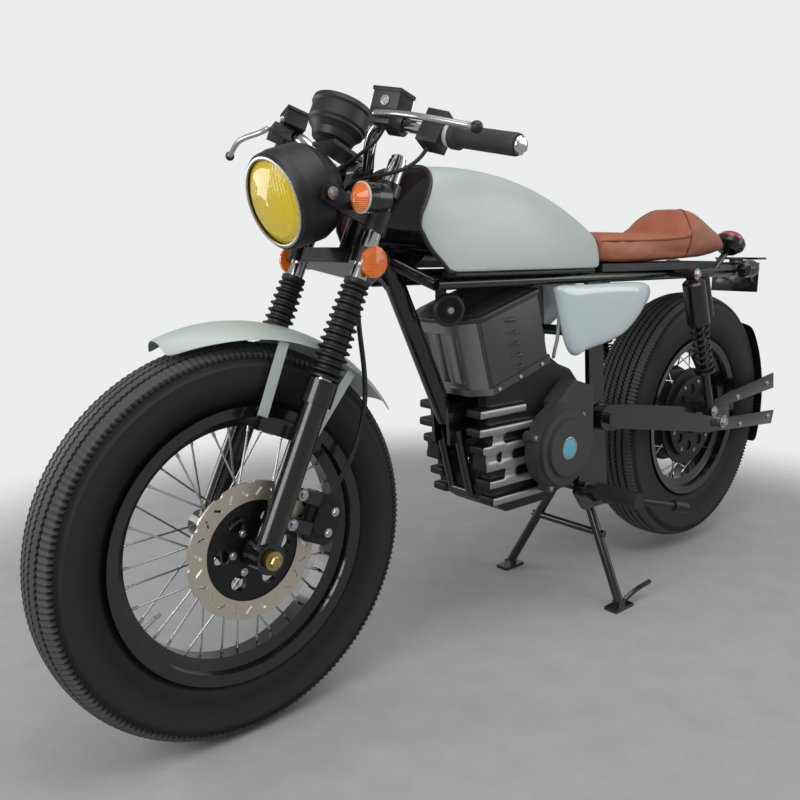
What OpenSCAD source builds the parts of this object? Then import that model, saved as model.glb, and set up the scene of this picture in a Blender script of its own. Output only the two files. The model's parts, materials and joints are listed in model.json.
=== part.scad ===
// Electric motorcycle in café-racer style, standing on its centre stand.
// Millimetres. +X is forward, +Y is left, +Z is up, and the floor is at Z = 0.
// Lengths along the vehicle are measured from the rear axle; place() then centres the whole.

/* [Wheels] */
// Distance between the two axles
wheelbase = 1410; // [1360:10:1460]
// Outer radius of both tyres
tyre_r = 340; // [335:1:345]
// Half width of the front tyre
front_tyre_half = 56; // [50:1:60]
// Half width of the rear tyre
rear_tyre_half = 66; // [60:1:70]
// Flange radius of the front rim
front_rim_r = 238; // [230:1:245]
// Flange radius of the rear rim
rear_rim_r = 216; // [210:1:225]
// Height of the rear tyre above the floor while the centre stand is down
rear_lift = 30; // [20:1:40]
// Number of spokes in the front wheel
front_spokes = 36; // [28:4:40]
// Number of spokes in the rear wheel
rear_spokes = 36; // [28:4:40]
// Radius of the hub motor's body
hub_motor_r = 126; // [115:1:135]
// Radius of the front brake disc
front_disc_r = 118; // [112:1:124]
// Radius of the front axle
front_axle_r = 8; // [7:0.5:9]
// Radius of the rear axle
rear_axle_r = 9; // [8:0.5:10]

/* [Front end] */
// Angle of the steering head from the vertical
rake = 24.4; // [23:0.2:26]
// Distance of the fork legs ahead of the steering axis
fork_offset = 40; // [36:1:44]
// Half of the distance between the fork legs
fork_half = 95; // [92:1:98]
// Radius of the chromed fork tubes
fork_tube_r = 15.5; // [14:0.5:16.5]
// Radius of the fork lowers
fork_lower_r = 22; // [20:0.5:23]
// Height of the lower yoke above the axle, along the fork
yoke_s = 505; // [495:1:515]
// Length of the steering head tube
head_len = 92; // [85:1:100]
// Radius of the steering stem
stem_r = 15; // [13:0.5:17]
// Radius of the headlight's rim
headlight_r = 76; // [70:1:80]
// Half of the handlebar's overall width
bar_half = 376; // [360:2:390]
// Radius of the handlebar tube
bar_r = 11; // [10:0.5:12]
// Radius of the speedometer's can
speedo_r = 52; // [46:1:54]

/* [Body] */
// Front end of the tank
tank_front = 1096; // [1090:1:1100]
// Rear end of the tank
tank_rear = 520; // [510:2:530]
// Greatest half width of the tank
tank_half = 132; // [126:1:136]
// Height of the tank's lower edge
tank_base = 786; // [784:1:790]
// Height of the tank's top
tank_top = 982; // [970:1:990]
// Thickness of the tank's shell
tank_wall = 3; // [2:0.5:4]
// Greatest half width of the seat
seat_half = 112; // [106:1:116]
// Height of the seat's hump above its base
seat_hump = 136; // [125:1:145]

/* [Drive] */
// Half width of the battery box
box_half = 98; // [90:1:102]
// Length of the battery box's flat side
box_len = 190; // [180:2:200]
// Height of the battery box
box_h = 152; // [140:2:160]
// Forward lean of the battery box
box_lean = 16.4; // [14:0.2:18]
// Half width of the motor case's core
case_half = 78; // [70:1:79]
// Number of cooling fins on the motor case
fin_count = 6; // [4:1:7]

/* [Rear] */
// Length from the swingarm's pivot to the rear axle
swingarm_len = 508; // [500:2:520]
// Height of the swingarm's pivot above the rear axle
pivot_rise = 78; // [70:1:85]
// Distance from the middle to the inner face of a swingarm leg
arm_in = 94; // [92:1:98]
// Width of a swingarm leg
arm_w = 26; // [22:1:30]
// Distance from the middle to the shock absorbers
shock_half = 146; // [142:1:150]
// Rearward reach of the hugger's brackets behind the rear axle
prong_reach = 385; // [380:1:400]

/* [Stands] */
// Distance from the middle to a centre stand foot
foot_half = 168; // [150:2:180]
// Height of the stands' hinges above the floor
stand_hinge_z = 262; // [255:1:270]
// Length of the side stand's leg
side_leg = 226; // [210:2:232]

/* [Hidden] */
$fn = 48;
// Running clearance of a hinge pin or axle in its bore
run = 0.05;
// Gap between neighbouring pieces that only lie against each other
seat_gap = 0.3;

rear_z = tyre_r + rear_lift;
mid_x = (wheelbase + tyre_r - prong_reach) / 2;
pivot_x = swingarm_len;
pivot_z = rear_z + pivot_rise;
arm_out = arm_in + arm_w;
plate_in = case_half + seat_gap;
plate_out = arm_in - 4;

yoke_h = 28;
head_s0 = yoke_s + yoke_h + 3;
head_s1 = head_s0 + head_len;
upper_s = head_s1 + 3;
upper_h = 22;
fork_top = upper_s + upper_h + 42;
lower_top = 300;
collar_s = 258;
gaiter_s0 = lower_top + 4;
gaiter_s1 = yoke_s - 26;
lower_inner = fork_half - fork_lower_r;
boss_out = fork_half + fork_lower_r + 2;
bar_s = upper_s + upper_h + bar_r + 6;
bar_a = 18;
speedo_a = 78;
speedo_s0 = bar_s + bar_r + 7 + seat_gap + 6;
bracket_s = 585;

stand_x = 480;
stand_hinge_half = 42;
stand_pin_r = 9;
side_pin_r = 7;
side_tilt = -67.5;
side_hinge = [505, 126, stand_hinge_z];
peg_x = 555;
peg_z = 288;

// Colours as the photograph shows them
paint = "#b7c0bb";
gloss = "#c6d3d6";
leather = "#a05a40";
black = "#1b1b1b";
dark = "#2c2c2c";
cast = "#3a3a3a";
silver = "#b8b8b8";
chrome = "#d0d0d0";
amber = "#f08a10";
yellow = "#d8c000";
rubber = "#202020";

// Frames of reference

module place() translate([-mid_x, 0, 0]) children();

// The fork's frame: x ahead of the fork legs, z along them from the front axle
module fork_axes() translate([wheelbase, 0, tyre_r]) rotate([0, -rake, 0]) children();

module fork_frame() place() fork_axes() children();

module rear_axis() place() translate([0, 0, rear_z]) children();

module both_sides() {
  children();
  mirror([0, 1, 0]) children();
}

// Round bar between two points
module rod(a, b, r) {
  v = b - a;
  len = norm(v);
  translate(a) rotate([0, acos(v.z / len), atan2(v.y, v.x)]) cylinder(h = len, r = r);
}

// Cylinder along Y, from y0 to y1
module across(x, z, r, y0, y1) translate([x, y0, z]) rotate([-90, 0, 0]) cylinder(h = y1 - y0, r = r);

// Side outline in X and Z, from y0 to y1
module plate(outline, y0, y1)
  translate([0, y1, 0]) rotate([90, 0, 0]) linear_extrude(y1 - y0) polygon(outline);

// Strip of width w between two points of the side view, from y0 to y1
module strip(a, b, w, y0, y1) {
  d = b - a;
  turn = atan2(d[1], d[0]);
  translate([a[0], y0, a[1]]) rotate([0, -turn, 0])
    translate([-w / 2, 0, -w / 2]) cube([norm(d) + w, y1 - y0, w]);
}

// Swept and lofted skins

function unit(v) = v / norm(v);

// Directions along a path, one for each point
function tangents(path) = [for (i = [0:len(path) - 1])
  unit(path[min(i + 1, len(path) - 1)] - path[max(i - 1, 0)])];

// One ring of a tube round a point of its path
function ring(p, t, r, sides, up) =
  let (side = unit(cross(up, t)), top = cross(t, side))
  [for (k = [0:sides - 1]) p + r * (cos(360 * k / sides) * side + sin(360 * k / sides) * top)];

// Point at share t between b and c on the smooth curve through a, b, c and d
function between(a, b, c, d, t) =
  0.5 * (2 * b + (c - a) * t + (2 * a - 5 * b + 4 * c - d) * t * t + (3 * b - a - 3 * c + d) * t * t * t);

// Smooth curve through a few points, with n steps between neighbours
function smooth(pts, n) = let (last = len(pts) - 1) [for (i = [0:last - 1], k = [0:n - 1])
  between(pts[max(i - 1, 0)], pts[i], pts[i + 1], pts[min(i + 2, last)], k / n), pts[last]];

// The same through points that close on themselves
function closed(pts, n) = let (m = len(pts)) [for (i = [0:m - 1], k = [0:n - 1])
  between(pts[(i + m - 1) % m], pts[i], pts[(i + 1) % m], pts[(i + 2) % m], k / n)];

// Cubic route from p[0] to p[3] that sets out towards p[1] and comes in from p[2]
function cubic(p, n) = [for (k = [0:n]) let (t = k / n, u = 1 - t)
  u * u * u * p[0] + 3 * t * u * u * p[1] + 3 * t * t * u * p[2] + t * t * t * p[3]];

// Skin over a list of rings that all have the same number of points; a wall's ring runs out along
// its outside and back along its inside, so its ends are closed by a strip of triangles
module skin(rings, wall = false) {
  n = len(rings[0]);
  m = len(rings);
  last = (m - 1) * n;
  points = [for (r = rings, p = r) p];
  sides = [for (i = [0:m - 2], j = [0:n - 1]) let (a = i * n + j, b = i * n + (j + 1) % n) each
    [[a, a + n, b + n], [a, b + n, b]]];
  caps = wall ? [for (j = [0:n / 2 - 2]) let (k = n - 1 - j) each
    [[j, j + 1, k - 1], [j, k - 1, k], [last + j + 1, last + j, last + k - 1],
      [last + k - 1, last + j, last + k]]]
    : [[for (j = [0:n - 1]) j], [for (j = [n - 1:-1:0]) last + j]];
  polyhedron(points, concat(sides, caps), convexity = 8);
}

module bent_tube(path, r, sides = 12, up = [0, 0, 1])
  let (t = tangents(path)) skin([for (i = [0:len(path) - 1]) ring(path[i], t[i], r, sides, up)]);

// Wheels

// Half outline of a tyre's hollow carcass: radius and height across
module tyre(half, rim_r) {
  bead = rim_r - 12;
  bead_half = half * 0.6;
  shoulder = tyre_r - 26;
  rotate([-90, 0, 0]) rotate_extrude($fn = 96) polygon([
    [bead, -bead_half], [rim_r + 2, -bead_half - 4], [rim_r + 30, -half + 5], [shoulder - 22, -half],
    [shoulder, -half + 2], [tyre_r - 8, -half + 16], [tyre_r, -half * 0.4], [tyre_r, half * 0.4],
    [tyre_r - 8, half - 16], [shoulder, half - 2], [shoulder - 22, half], [rim_r + 30, half - 5],
    [rim_r + 2, bead_half + 4], [bead, bead_half], [bead, bead_half - 7], [rim_r + 30, half - 14],
    [shoulder - 16, half - 10], [tyre_r - 18, half * 0.4], [tyre_r - 18, -half * 0.4],
      [shoulder - 16, -half + 10],
    [rim_r + 30, -half + 14], [bead, -bead_half + 7]]);
}

// Drop-centre rim under that tyre
module rim(half, rim_r) {
  bead = rim_r - 12 - seat_gap;
  bead_half = half * 0.6;
  well = rim_r - 32;
  rotate([-90, 0, 0]) rotate_extrude($fn = 96) polygon([
    [bead, -bead_half - 5], [rim_r, -bead_half - 8], [rim_r, -bead_half - 12], [bead - 6, -bead_half - 9],
    [bead - 6, -bead_half + 10], [well - 5, -bead_half + 18], [well - 5, bead_half - 18],
      [bead - 6, bead_half - 10],
    [bead - 6, bead_half + 9], [rim_r, bead_half + 12], [rim_r, bead_half + 8], [bead, bead_half + 5],
    [bead, bead_half - 13], [well, bead_half - 21], [well, -bead_half + 21], [bead, -bead_half + 13]]);
}

// Laced wire spokes from two hub flanges to the rim's well
module spokes(count, flange_r, flange_half, rim_r, twist) {
  reach = rim_r - 38;
  for (i = [0:count - 1]) {
    side = i % 2 == 0 ? 1 : -1;
    lead = i % 4 < 2 ? twist : -twist;
    a = 360 * i / count;
    rod([flange_r * cos(a + lead), side * flange_half, flange_r * sin(a + lead)],
      [reach * cos(a), side * 4, reach * sin(a)], 1.75);
  }
}

module front_axis() place() translate([wheelbase, 0, tyre_r]) children();

module front_tyre() color(rubber) front_axis() tyre(front_tyre_half, front_rim_r);

module front_rim() color(black) front_axis() rim(front_tyre_half, front_rim_r);

hub_flange_r = 36;
hub_flange_half = 34;
disc_y = 60;
disc_t = 5;
module front_hub() color(black) front_axis() {
  difference() {
    union() {
      across(0, 0, 22, -62, 52);
      for (y = [-hub_flange_half, hub_flange_half]) across(0, 0, hub_flange_r + 5, y - 3, y + 3);
      across(0, 0, 52, 44, 52);
    }
    across(0, 0, front_axle_r + run, -70, 70);
  }
  spokes(front_spokes, hub_flange_r, hub_flange_half, front_rim_r, 52);
}

// Brake disc with slots, on a spider with oval windows
module front_disc() color(silver) front_axis() difference() {
  union() {
    difference() {
      across(0, 0, front_disc_r, disc_y, disc_y + disc_t);
      across(0, 0, front_disc_r - 34, disc_y - 1, disc_y + disc_t + 1);
    }
    difference() {
      across(0, 0, front_disc_r - 31, 52, disc_y + disc_t - 1);
      for (i = [0:5]) rotate([0, 60 * i, 0]) across(58, 0, 14, 50, 70);
    }
  }
  across(0, 0, front_axle_r + 4, 40, 80);
  for (i = [0:11]) rotate([0, 30 * i, 0]) across(front_disc_r + 6, 0, 10, disc_y - 1,
    disc_y + disc_t + 1);
  for (i = [0:23]) rotate([0, 15 * i + 7.5, 0]) translate([front_disc_r - 17, disc_y + disc_t / 2, 0])
    rotate([0, i % 2 == 0 ? 38 : -38, 0]) cube([15, disc_t + 2, 4.6], center = true);
}

module rear_tyre() color(rubber) rear_axis() tyre(rear_tyre_half, rear_rim_r);

module rear_rim() color(black) rear_axis() rim(rear_tyre_half, rear_rim_r);

hub_half = 44;
module hub_motor() color(dark) rear_axis() {
  difference() {
    union() {
      across(0, 0, hub_motor_r, -30, 30);
      across(0, 0, hub_motor_r - 14, -hub_half, hub_half);
      across(0, 0, 46, -60, 60);
      for (y = [-30, 30]) across(0, 0, hub_motor_r + 8, y - 3, y + 3);
    }
    across(0, 0, rear_axle_r + run, -70, 70);
    for (side = [-1, 1], i = [0:8]) rotate([0, 40 * i, 0])
      across(80, 0, 14, side > 0 ? hub_half - 4 : -hub_half - 1, side > 0 ? hub_half + 1 : 4 - hub_half);
  }
  spokes(rear_spokes, hub_motor_r + 3, 30, rear_rim_r, 14);
}

rear_disc_y = -72;
module rear_disc() color(silver) rear_axis() difference() {
  union() {
    across(0, 0, 110, rear_disc_y, rear_disc_y + 4);
    across(0, 0, 44, rear_disc_y, -60);
  }
  across(0, 0, rear_axle_r + 9, -90, -50);
  for (i = [0:5]) rotate([0, 60 * i, 0]) across(62, 0, 14, -90, -50);
  for (i = [0:19]) rotate([0, 18 * i, 0]) across(98, 0, 4, -90, -50);
}

module front_axle() color(silver) front_axis() {
  across(0, 0, front_axle_r, -boss_out - 1, boss_out + 1);
  both_sides() across(0, 0, 14, boss_out + seat_gap, boss_out + 8);
}

module rear_axle() color(silver) rear_axis() {
  across(0, 0, rear_axle_r, -arm_out - 4, arm_out + 4);
  both_sides() across(0, 0, 16, arm_out + seat_gap, arm_out + 14);
  both_sides() across(0, 0, 14, 62, arm_in - seat_gap);
}

// Fork and steering

module fork_pair() both_sides() translate([0, fork_half, 0]) children();

module stem_bar(r, s0, s1) translate([-fork_offset, 0, s0]) cylinder(h = s1 - s0, r = r);

// Flat yoke outline round the stem and both fork tubes
module yoke_slab(s0, h, wall) translate([0, 0, s0]) {
  fork_pair() cylinder(h = h, r = fork_tube_r + wall);
  translate([-fork_offset, 0, 0]) cylinder(h = h, r = stem_r + 12);
  linear_extrude(h) polygon([[14, -fork_half], [14, fork_half], [-16, fork_half], [-fork_offset - 18, 30],
    [-fork_offset - 18, -30], [-16, -fork_half]]);
}

module lower_yoke() color(black) fork_frame() {
  difference() {
    yoke_slab(yoke_s, yoke_h, 9);
    fork_pair() translate([0, 0, yoke_s - 1]) cylinder(h = yoke_h + 2, r = fork_tube_r);
  }
  stem_bar(stem_r, yoke_s + 2, upper_s + upper_h + 4);
}

module upper_yoke() color(black) fork_frame() {
  difference() {
    union() {
      yoke_slab(upper_s, upper_h, 6);
      both_sides() translate([bar_a - 16, 10, upper_s]) cube([32, 20, bar_s - upper_s]);
      both_sides() translate([bar_a, 10, bar_s]) rotate([-90, 0, 0]) cylinder(h = 20, r = bar_r + 7);
    }
    fork_pair() translate([0, 0, upper_s - 1]) cylinder(h = upper_h + 2, r = fork_tube_r);
    stem_bar(stem_r + run, upper_s - 1, upper_s + upper_h + 10);
    translate([bar_a, -60, bar_s]) rotate([-90, 0, 0]) cylinder(h = 120, r = bar_r + 0.6);
  }
}

module fork_tubes() color(chrome) fork_frame() fork_pair() {
  translate([0, 0, 90]) cylinder(h = fork_top - 90, r = fork_tube_r);
  translate([0, 0, fork_top]) cylinder(h = 8, r = fork_tube_r - 2);
}

// Rubber bellows on each fork leg
gaiter_folds = 12;
fold_s0 = gaiter_s0 + 4.7;
fold_pitch = (gaiter_s1 - 10 - fold_s0) / gaiter_folds;
function fold_ring(i) = let (valley = 22 - 0.35 * i, crest = 30 - 0.5 * i, s = fold_s0 + fold_pitch * i)
  [[valley, s + 0.16 * fold_pitch], [crest, s + 0.42 * fold_pitch],
   [crest, s + 0.58 * fold_pitch], [valley, s + 0.84 * fold_pitch]];
module fork_gaiters() color(rubber) fork_frame() fork_pair() rotate_extrude() polygon(concat(
  [[fork_tube_r + seat_gap, gaiter_s0], [27, gaiter_s0], [27, gaiter_s0 + 4]],
  [for (i = [0:gaiter_folds - 1]) each fold_ring(i)],
  [[22, gaiter_s1 - 8], [22, gaiter_s1], [fork_tube_r + seat_gap, gaiter_s1]]));

// Lowers with the axle boss, the caliper lugs on the left leg and the fender lugs
lug_s = 190;
stay_y = front_tyre_half + 10;
module fork_lowers() color(black) fork_frame() difference() {
  union() {
    fork_pair() {
      translate([0, 0, -8]) cylinder(h = lower_top + 8, r = fork_lower_r);
      translate([0, 0, collar_s]) cylinder(h = lower_top - collar_s, r = fork_lower_r + 5);
      translate([0, -fork_lower_r, 0]) rotate([-90, 0, 0])
        cylinder(h = boss_out - lower_inner, r = fork_lower_r + 4);
    }
    both_sides() translate([-50, stay_y + seat_gap, lug_s])
      cube([130, lower_inner + 8 - stay_y - seat_gap, 22]);
    for (s = [48, 100]) translate([-78, disc_y + 22 + seat_gap, s]) cube([70, 12, 22]);
  }
  fork_pair() translate([0, 0, 88]) cylinder(h = 400, r = fork_tube_r + seat_gap);
  rotate([-90, 0, 0]) translate([0, 0, -150]) cylinder(h = 300, r = front_axle_r);
}

// Caliper that straddles the front disc behind the left leg
module front_caliper() color(black) fork_frame() difference() {
  union() {
    plate([[-142, 54], [-128, 36], [-84, 36], [-70, 50], [-70, 108], [-84, 122], [-124, 122],
      [-142, 102]],
      disc_y - 20, disc_y + 22);
    plate([[-130, 62], [-122, 54], [-92, 54], [-84, 62], [-84, 96], [-92, 104], [-122, 104], [-130, 96]],
      disc_y + 20, disc_y + 28);
    for (s = [57, 99]) translate([-112, disc_y - 30, s]) rotate([-90, 0, 0]) cylinder(h = 30, r = 19);
  }
  rotate([-90, 0, 0]) translate([0, 0, disc_y - 4]) cylinder(h = disc_t + 8, r = front_disc_r + 6);
  rotate([-90, 0, 0]) translate([0, 0, -20]) cylinder(h = 90, r = front_disc_r - 27);
}

// Short front fender: a crowned shell swept round the front axle
fender_r = tyre_r + 34;
fender_t = 3;
fender_half = 72;
fender_from = 70;
fender_to = 146;
fender_steps = 18;
fender_sides = 12;
function fender_width(u) = fender_half * (u < 0.3 ? 0.45 + 0.55 * sin(300 * u) : 1);
function fender_point(angle, k, u, inset) =
  let (y = fender_width(u) * k, r = fender_r - inset - 24 * pow(abs(k), 2.4))
  [r * cos(angle), y, r * sin(angle)];
function fender_ring(i) =
  let (u = i / fender_steps, angle = fender_from + (fender_to - fender_from) * u, n = fender_sides)
  concat([for (j = [0:n]) fender_point(angle, -1 + 2 * j / n, u, 0)],
    [for (j = [n:-1:0]) fender_point(angle, -1 + 2 * j / n, u, fender_t)]);
module front_fender() color(paint) front_axis() skin([for (i = [0:fender_steps]) fender_ring(i)], true);

// Four flat stays between the fender's edges and the lugs on the fork lowers
module fender_stays() color(paint) fork_frame() both_sides() {
  for (stay = [[68, 76], [-38, -72]]) let (foot = stay[0], top = stay[1])
    strip([foot, lug_s + 11], [top, tyre_r - 10], 18, stay_y - 4, stay_y);
}

// Headlight

headlight_a = 140;
headlight_s = 557;
headlight_pitch = 132;
module headlight_frame() fork_frame() translate([headlight_a, 0, headlight_s])
  rotate([0, headlight_pitch, 0]) children();

module headlight_bucket() color(black) headlight_frame() {
  rotate_extrude($fn = 64) polygon([[0, -118], [34, -114], [62, -98], [78, -76], [84, -60], [84, -14],
    [81, -4],
      [headlight_r - 6, -4], [headlight_r - 6, -10], [78, -16], [78, -58], [72, -73], [58, -92],
        [32, -108], [0, -112]]);
  both_sides() translate([0, 79, -45]) rotate([-90, 0, 0]) cylinder(h = 11 - seat_gap, r = 11);
}

module headlight_rim() color(chrome) headlight_frame() rotate_extrude($fn = 64)
  polygon([[headlight_r - 5, -4 + seat_gap], [headlight_r + 6, -4 + seat_gap], [headlight_r + 5, 3],
    [headlight_r, 7], [headlight_r - 5, 5]]);

module headlight_lens() color(yellow) headlight_frame() rotate_extrude($fn = 64)
  polygon([[0, 2], [40, 1], [headlight_r - 5.3, -3], [headlight_r - 5.3, 2], [58, 9], [34, 14], [0, 17]]);

// Arms from clamps on the fork tubes to the headlight's side bolts
module headlight_brackets() color(black) fork_frame() both_sides() {
  difference() {
    union() {
      translate([0, fork_half, bracket_s - 20]) cylinder(h = 40, r = fork_tube_r + 5);
      translate([0, 90, bracket_s - 16]) cube([118, 6, 32]);
    }
    translate([0, fork_half, bracket_s - 30]) cylinder(h = 60, r = fork_tube_r);
  }
  translate([106, 96, bracket_s]) rotate([-90, 0, 0]) cylinder(h = 6, r = 9);
}

indicator_half = 152;
indicator_a = 86;
indicator_len = 54;
module indicator_axis() translate([indicator_a, indicator_half, bracket_s]) rotate([0, 90 + rake, 0])
  children();

module indicator_bodies() color(black) fork_frame() both_sides() {
  indicator_axis() rotate_extrude() polygon([[0, -indicator_len - 3], [14, -indicator_len],
    [22, -indicator_len + 8], [24, -20], [24, 0], [0, 0]]);
  translate([62, 96, bracket_s]) rotate([-90, 0, 0]) cylinder(h = indicator_half - 96 - 15, r = 7);
}

reflector_r = 26;
reflector_y = fork_half + fork_tube_r + 9;
module amber_lenses() color(amber) fork_frame() both_sides() {
  indicator_axis() rotate_extrude() polygon([[0, seat_gap], [24, seat_gap], [23, 4], [8, 15], [0, 16]]);
  translate([0, reflector_y - 4 + seat_gap, yoke_s + 8]) rotate([-90, 0, 0])
    rotate_extrude() polygon([[0, 4], [reflector_r, 4], [reflector_r, 10], [18, 13], [0, 14]]);
}

// Handlebar and controls

grip_in = [26, 248, bar_s + 44];
grip_out = [4, bar_half - 8, bar_s + 28];
grip_r = 17;
bar_route = [[bar_a, 0, bar_s], [bar_a, 14, bar_s], [bar_a, 28, bar_s], [bar_a, 40, bar_s],
  [bar_a + 4, 50, bar_s + 3], [bar_a + 28, 72, bar_s + 20], [bar_a + 54, 106, bar_s + 48],
  [bar_a + 46, 150, bar_s + 54], grip_in];
bar_steps = 3;
bar_path = concat(smooth(bar_route, bar_steps), [grip_out]);
function flip(p) = [p.x, -p.y, p.z];

// The bar and its two end weights are one skin
module handlebar() color(chrome) fork_frame() {
  tip = grip_out + 8 * unit(grip_out - grip_in);
  right = [for (i = [len(bar_path) - 1:-1:1]) flip(bar_path[i])];
  path = concat([flip(tip), flip(grip_out)], right, bar_path, [grip_out, tip]);
  t = tangents(path);
  last = len(path) - 1;
  skin([for (i = [0:last])
    ring(path[i], t[i], i < 2 || i > last - 2 ? grip_r - 2 : bar_r, 12, [0, 0, 1])]);
}

module on_grip() translate(grip_in) rotate([0, acos(unit(grip_out - grip_in).z),
  atan2(grip_out.y - grip_in.y, grip_out.x - grip_in.x)]) children();

grip_len = norm(grip_out - grip_in);
module grips() color(dark) fork_frame() both_sides() on_grip() rotate_extrude() polygon([
  [bar_r + seat_gap, 0], [grip_r + 4, 0], [grip_r + 4, 12], [grip_r, 15], [grip_r, grip_len - 4],
  [grip_r - 1, grip_len - seat_gap], [bar_r + seat_gap, grip_len - seat_gap]]);

// Axes of a control at point i of the bar: ahead of it, outwards along it and up
function bar_axes(i) =
  let (out = unit(bar_path[i + 1] - bar_path[i - 1]), ahead = unit(cross(out, [0, 0, 1])))
  [ahead, out, cross(ahead, out)];
function bar_point(i, v) = let (e = bar_axes(i)) bar_path[i] + v.x * e[0] + v.y * e[1] + v.z * e[2];

module on_bar(i) {
  e = bar_axes(i);
  p = bar_path[i];
  multmatrix([[e[0].x, e[1].x, e[2].x, p.x], [e[0].y, e[1].y, e[2].y, p.y],
    [e[0].z, e[1].z, e[2].z, p.z]])
    children();
}

perch_at = bar_steps * 7;
pod_at = perch_at + 2;
perch_front = 48;
// Turn of the left and the right perch about the bar
perch_turn = [14, 2];
module on_perches() fork_frame() for (side = [0, 1]) mirror([0, side, 0]) on_bar(perch_at)
  rotate([0, perch_turn[side], 0]) children();

// Brake master cylinders: a clamp, the cylinder's body, and a reservoir with its lid over the bar
reservoir = [42, 50, 27];
reservoir_z = bar_r + 3;
module brake_masters() color(black) on_perches() difference() {
  union() {
    rotate([-90, 0, 0]) translate([0, 0, -12]) cylinder(h = 24, r = bar_r + 8);
    translate([8, -26, -12]) cube([perch_front - 8, 40, 24]);
    translate([-8, -36, reservoir_z]) cube(reservoir);
    translate([-10, -38, reservoir_z + reservoir.z]) cube([reservoir.x + 4, reservoir.y + 4, 6]);
    translate([14, -24, 6]) cube([18, 30, reservoir_z]);
  }
  rotate([-90, 0, 0]) translate([0, 0, -30]) cylinder(h = 60, r = bar_r + 1.2);
}

// Hand levers ahead of the grips, each with a ball at its tip
lever_r = 5.5;
lever_reach = 200;
lever_splay = 28;
module levers() color(silver) on_perches() {
  start = [perch_front + lever_r + seat_gap, -14, 0];
  tip = start + [lever_splay, lever_reach, -8];
  bent_tube(smooth([start, start + [6, 44, 2], tip + [2, -90, 4], tip], 4), lever_r, 10);
  translate(tip) sphere(r = 9);
}

module switch_pods() color(black) fork_frame() both_sides() on_bar(pod_at) difference() {
  translate([-20, -22, -27]) cube([40, 38, 54]);
  rotate([-90, 0, 0]) translate([0, 0, -40]) cylinder(h = 80, r = bar_r + 0.9);
}

module speedometer() color(black) fork_frame() translate([speedo_a, 0, speedo_s0]) {
  rotate_extrude($fn = 64) polygon([[0, 0], [26, 0], [36, 6], [40, 18], [speedo_r - 6, 25],
    [speedo_r - 3, 28],
    [speedo_r - 3, 32], [speedo_r, 36], [speedo_r, 60], [speedo_r + 3, 64], [speedo_r + 2, 72],
      [speedo_r - 5, 72],
    [speedo_r - 8, 68], [0, 68]]);
  translate([bar_a - 14 - speedo_a, -32, -6]) cube([speedo_a - bar_a + 30, 64, 7]);
}

// Brake hose from under the headlight down to the caliper
hose_route = [[-30, 60, yoke_s - 1.2], [-30, 72, 380], [-164, 92, 330], [-114, 70, 123]];
hose_r = 4.5;
module brake_hose() color(black) fork_frame() bent_tube(cubic(hose_route, 16), hose_r, 10, [0, 1, 0]);

// Cables from the switch pods and the brake perches to the back of the headlight, alike on both sides
cable_r = 3.2;
pod_cable = [bar_point(pod_at, [0, -6, -28.3 - seat_gap]), [46, 196, 620], [74, 106, 650],
  [49.8, 46.8, 618.8]];
function perch_point(side, v) = let (c = cos(perch_turn[side]), d = sin(perch_turn[side]))
  bar_point(perch_at, [v.x * c + v.z * d, v.y, v.z * c - v.x * d]);
function perch_cable(side) = [perch_point(side, [20, -12, -13.8 - seat_gap]), [82, 137, 668], [81, 80, 668],
  [70, 45, 643]];
module control_cables() color(black) fork_frame() for (side = [0, 1]) mirror([0, side, 0])
  for (route = [pod_cable, perch_cable(side)]) bent_tube(cubic(route, 12), cable_r, 8);

// Main frame

trim_r = 4;
rail_half = 92;
rail_r = 12;
rail_z = tank_base - 2 * trim_r - 1 - rail_r;
rail_front = 1030;
rail_rear = -90;
rail_taper = 22;
head_mid = [wheelbase - (head_s0 + head_s1) / 2 * sin(rake) - fork_offset * cos(rake), 0,
  tyre_r + (head_s0 + head_s1) / 2 * cos(rake) - fork_offset * sin(rake)];
down_top = head_mid + [-52, 0, -26];
down_end = [908, 0, 482];
down_r = 20;
prong_half = 30;
backbone_x = 620;
backbone_z = tank_base + 26;
prong_end = [858, 0, 316];

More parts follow.
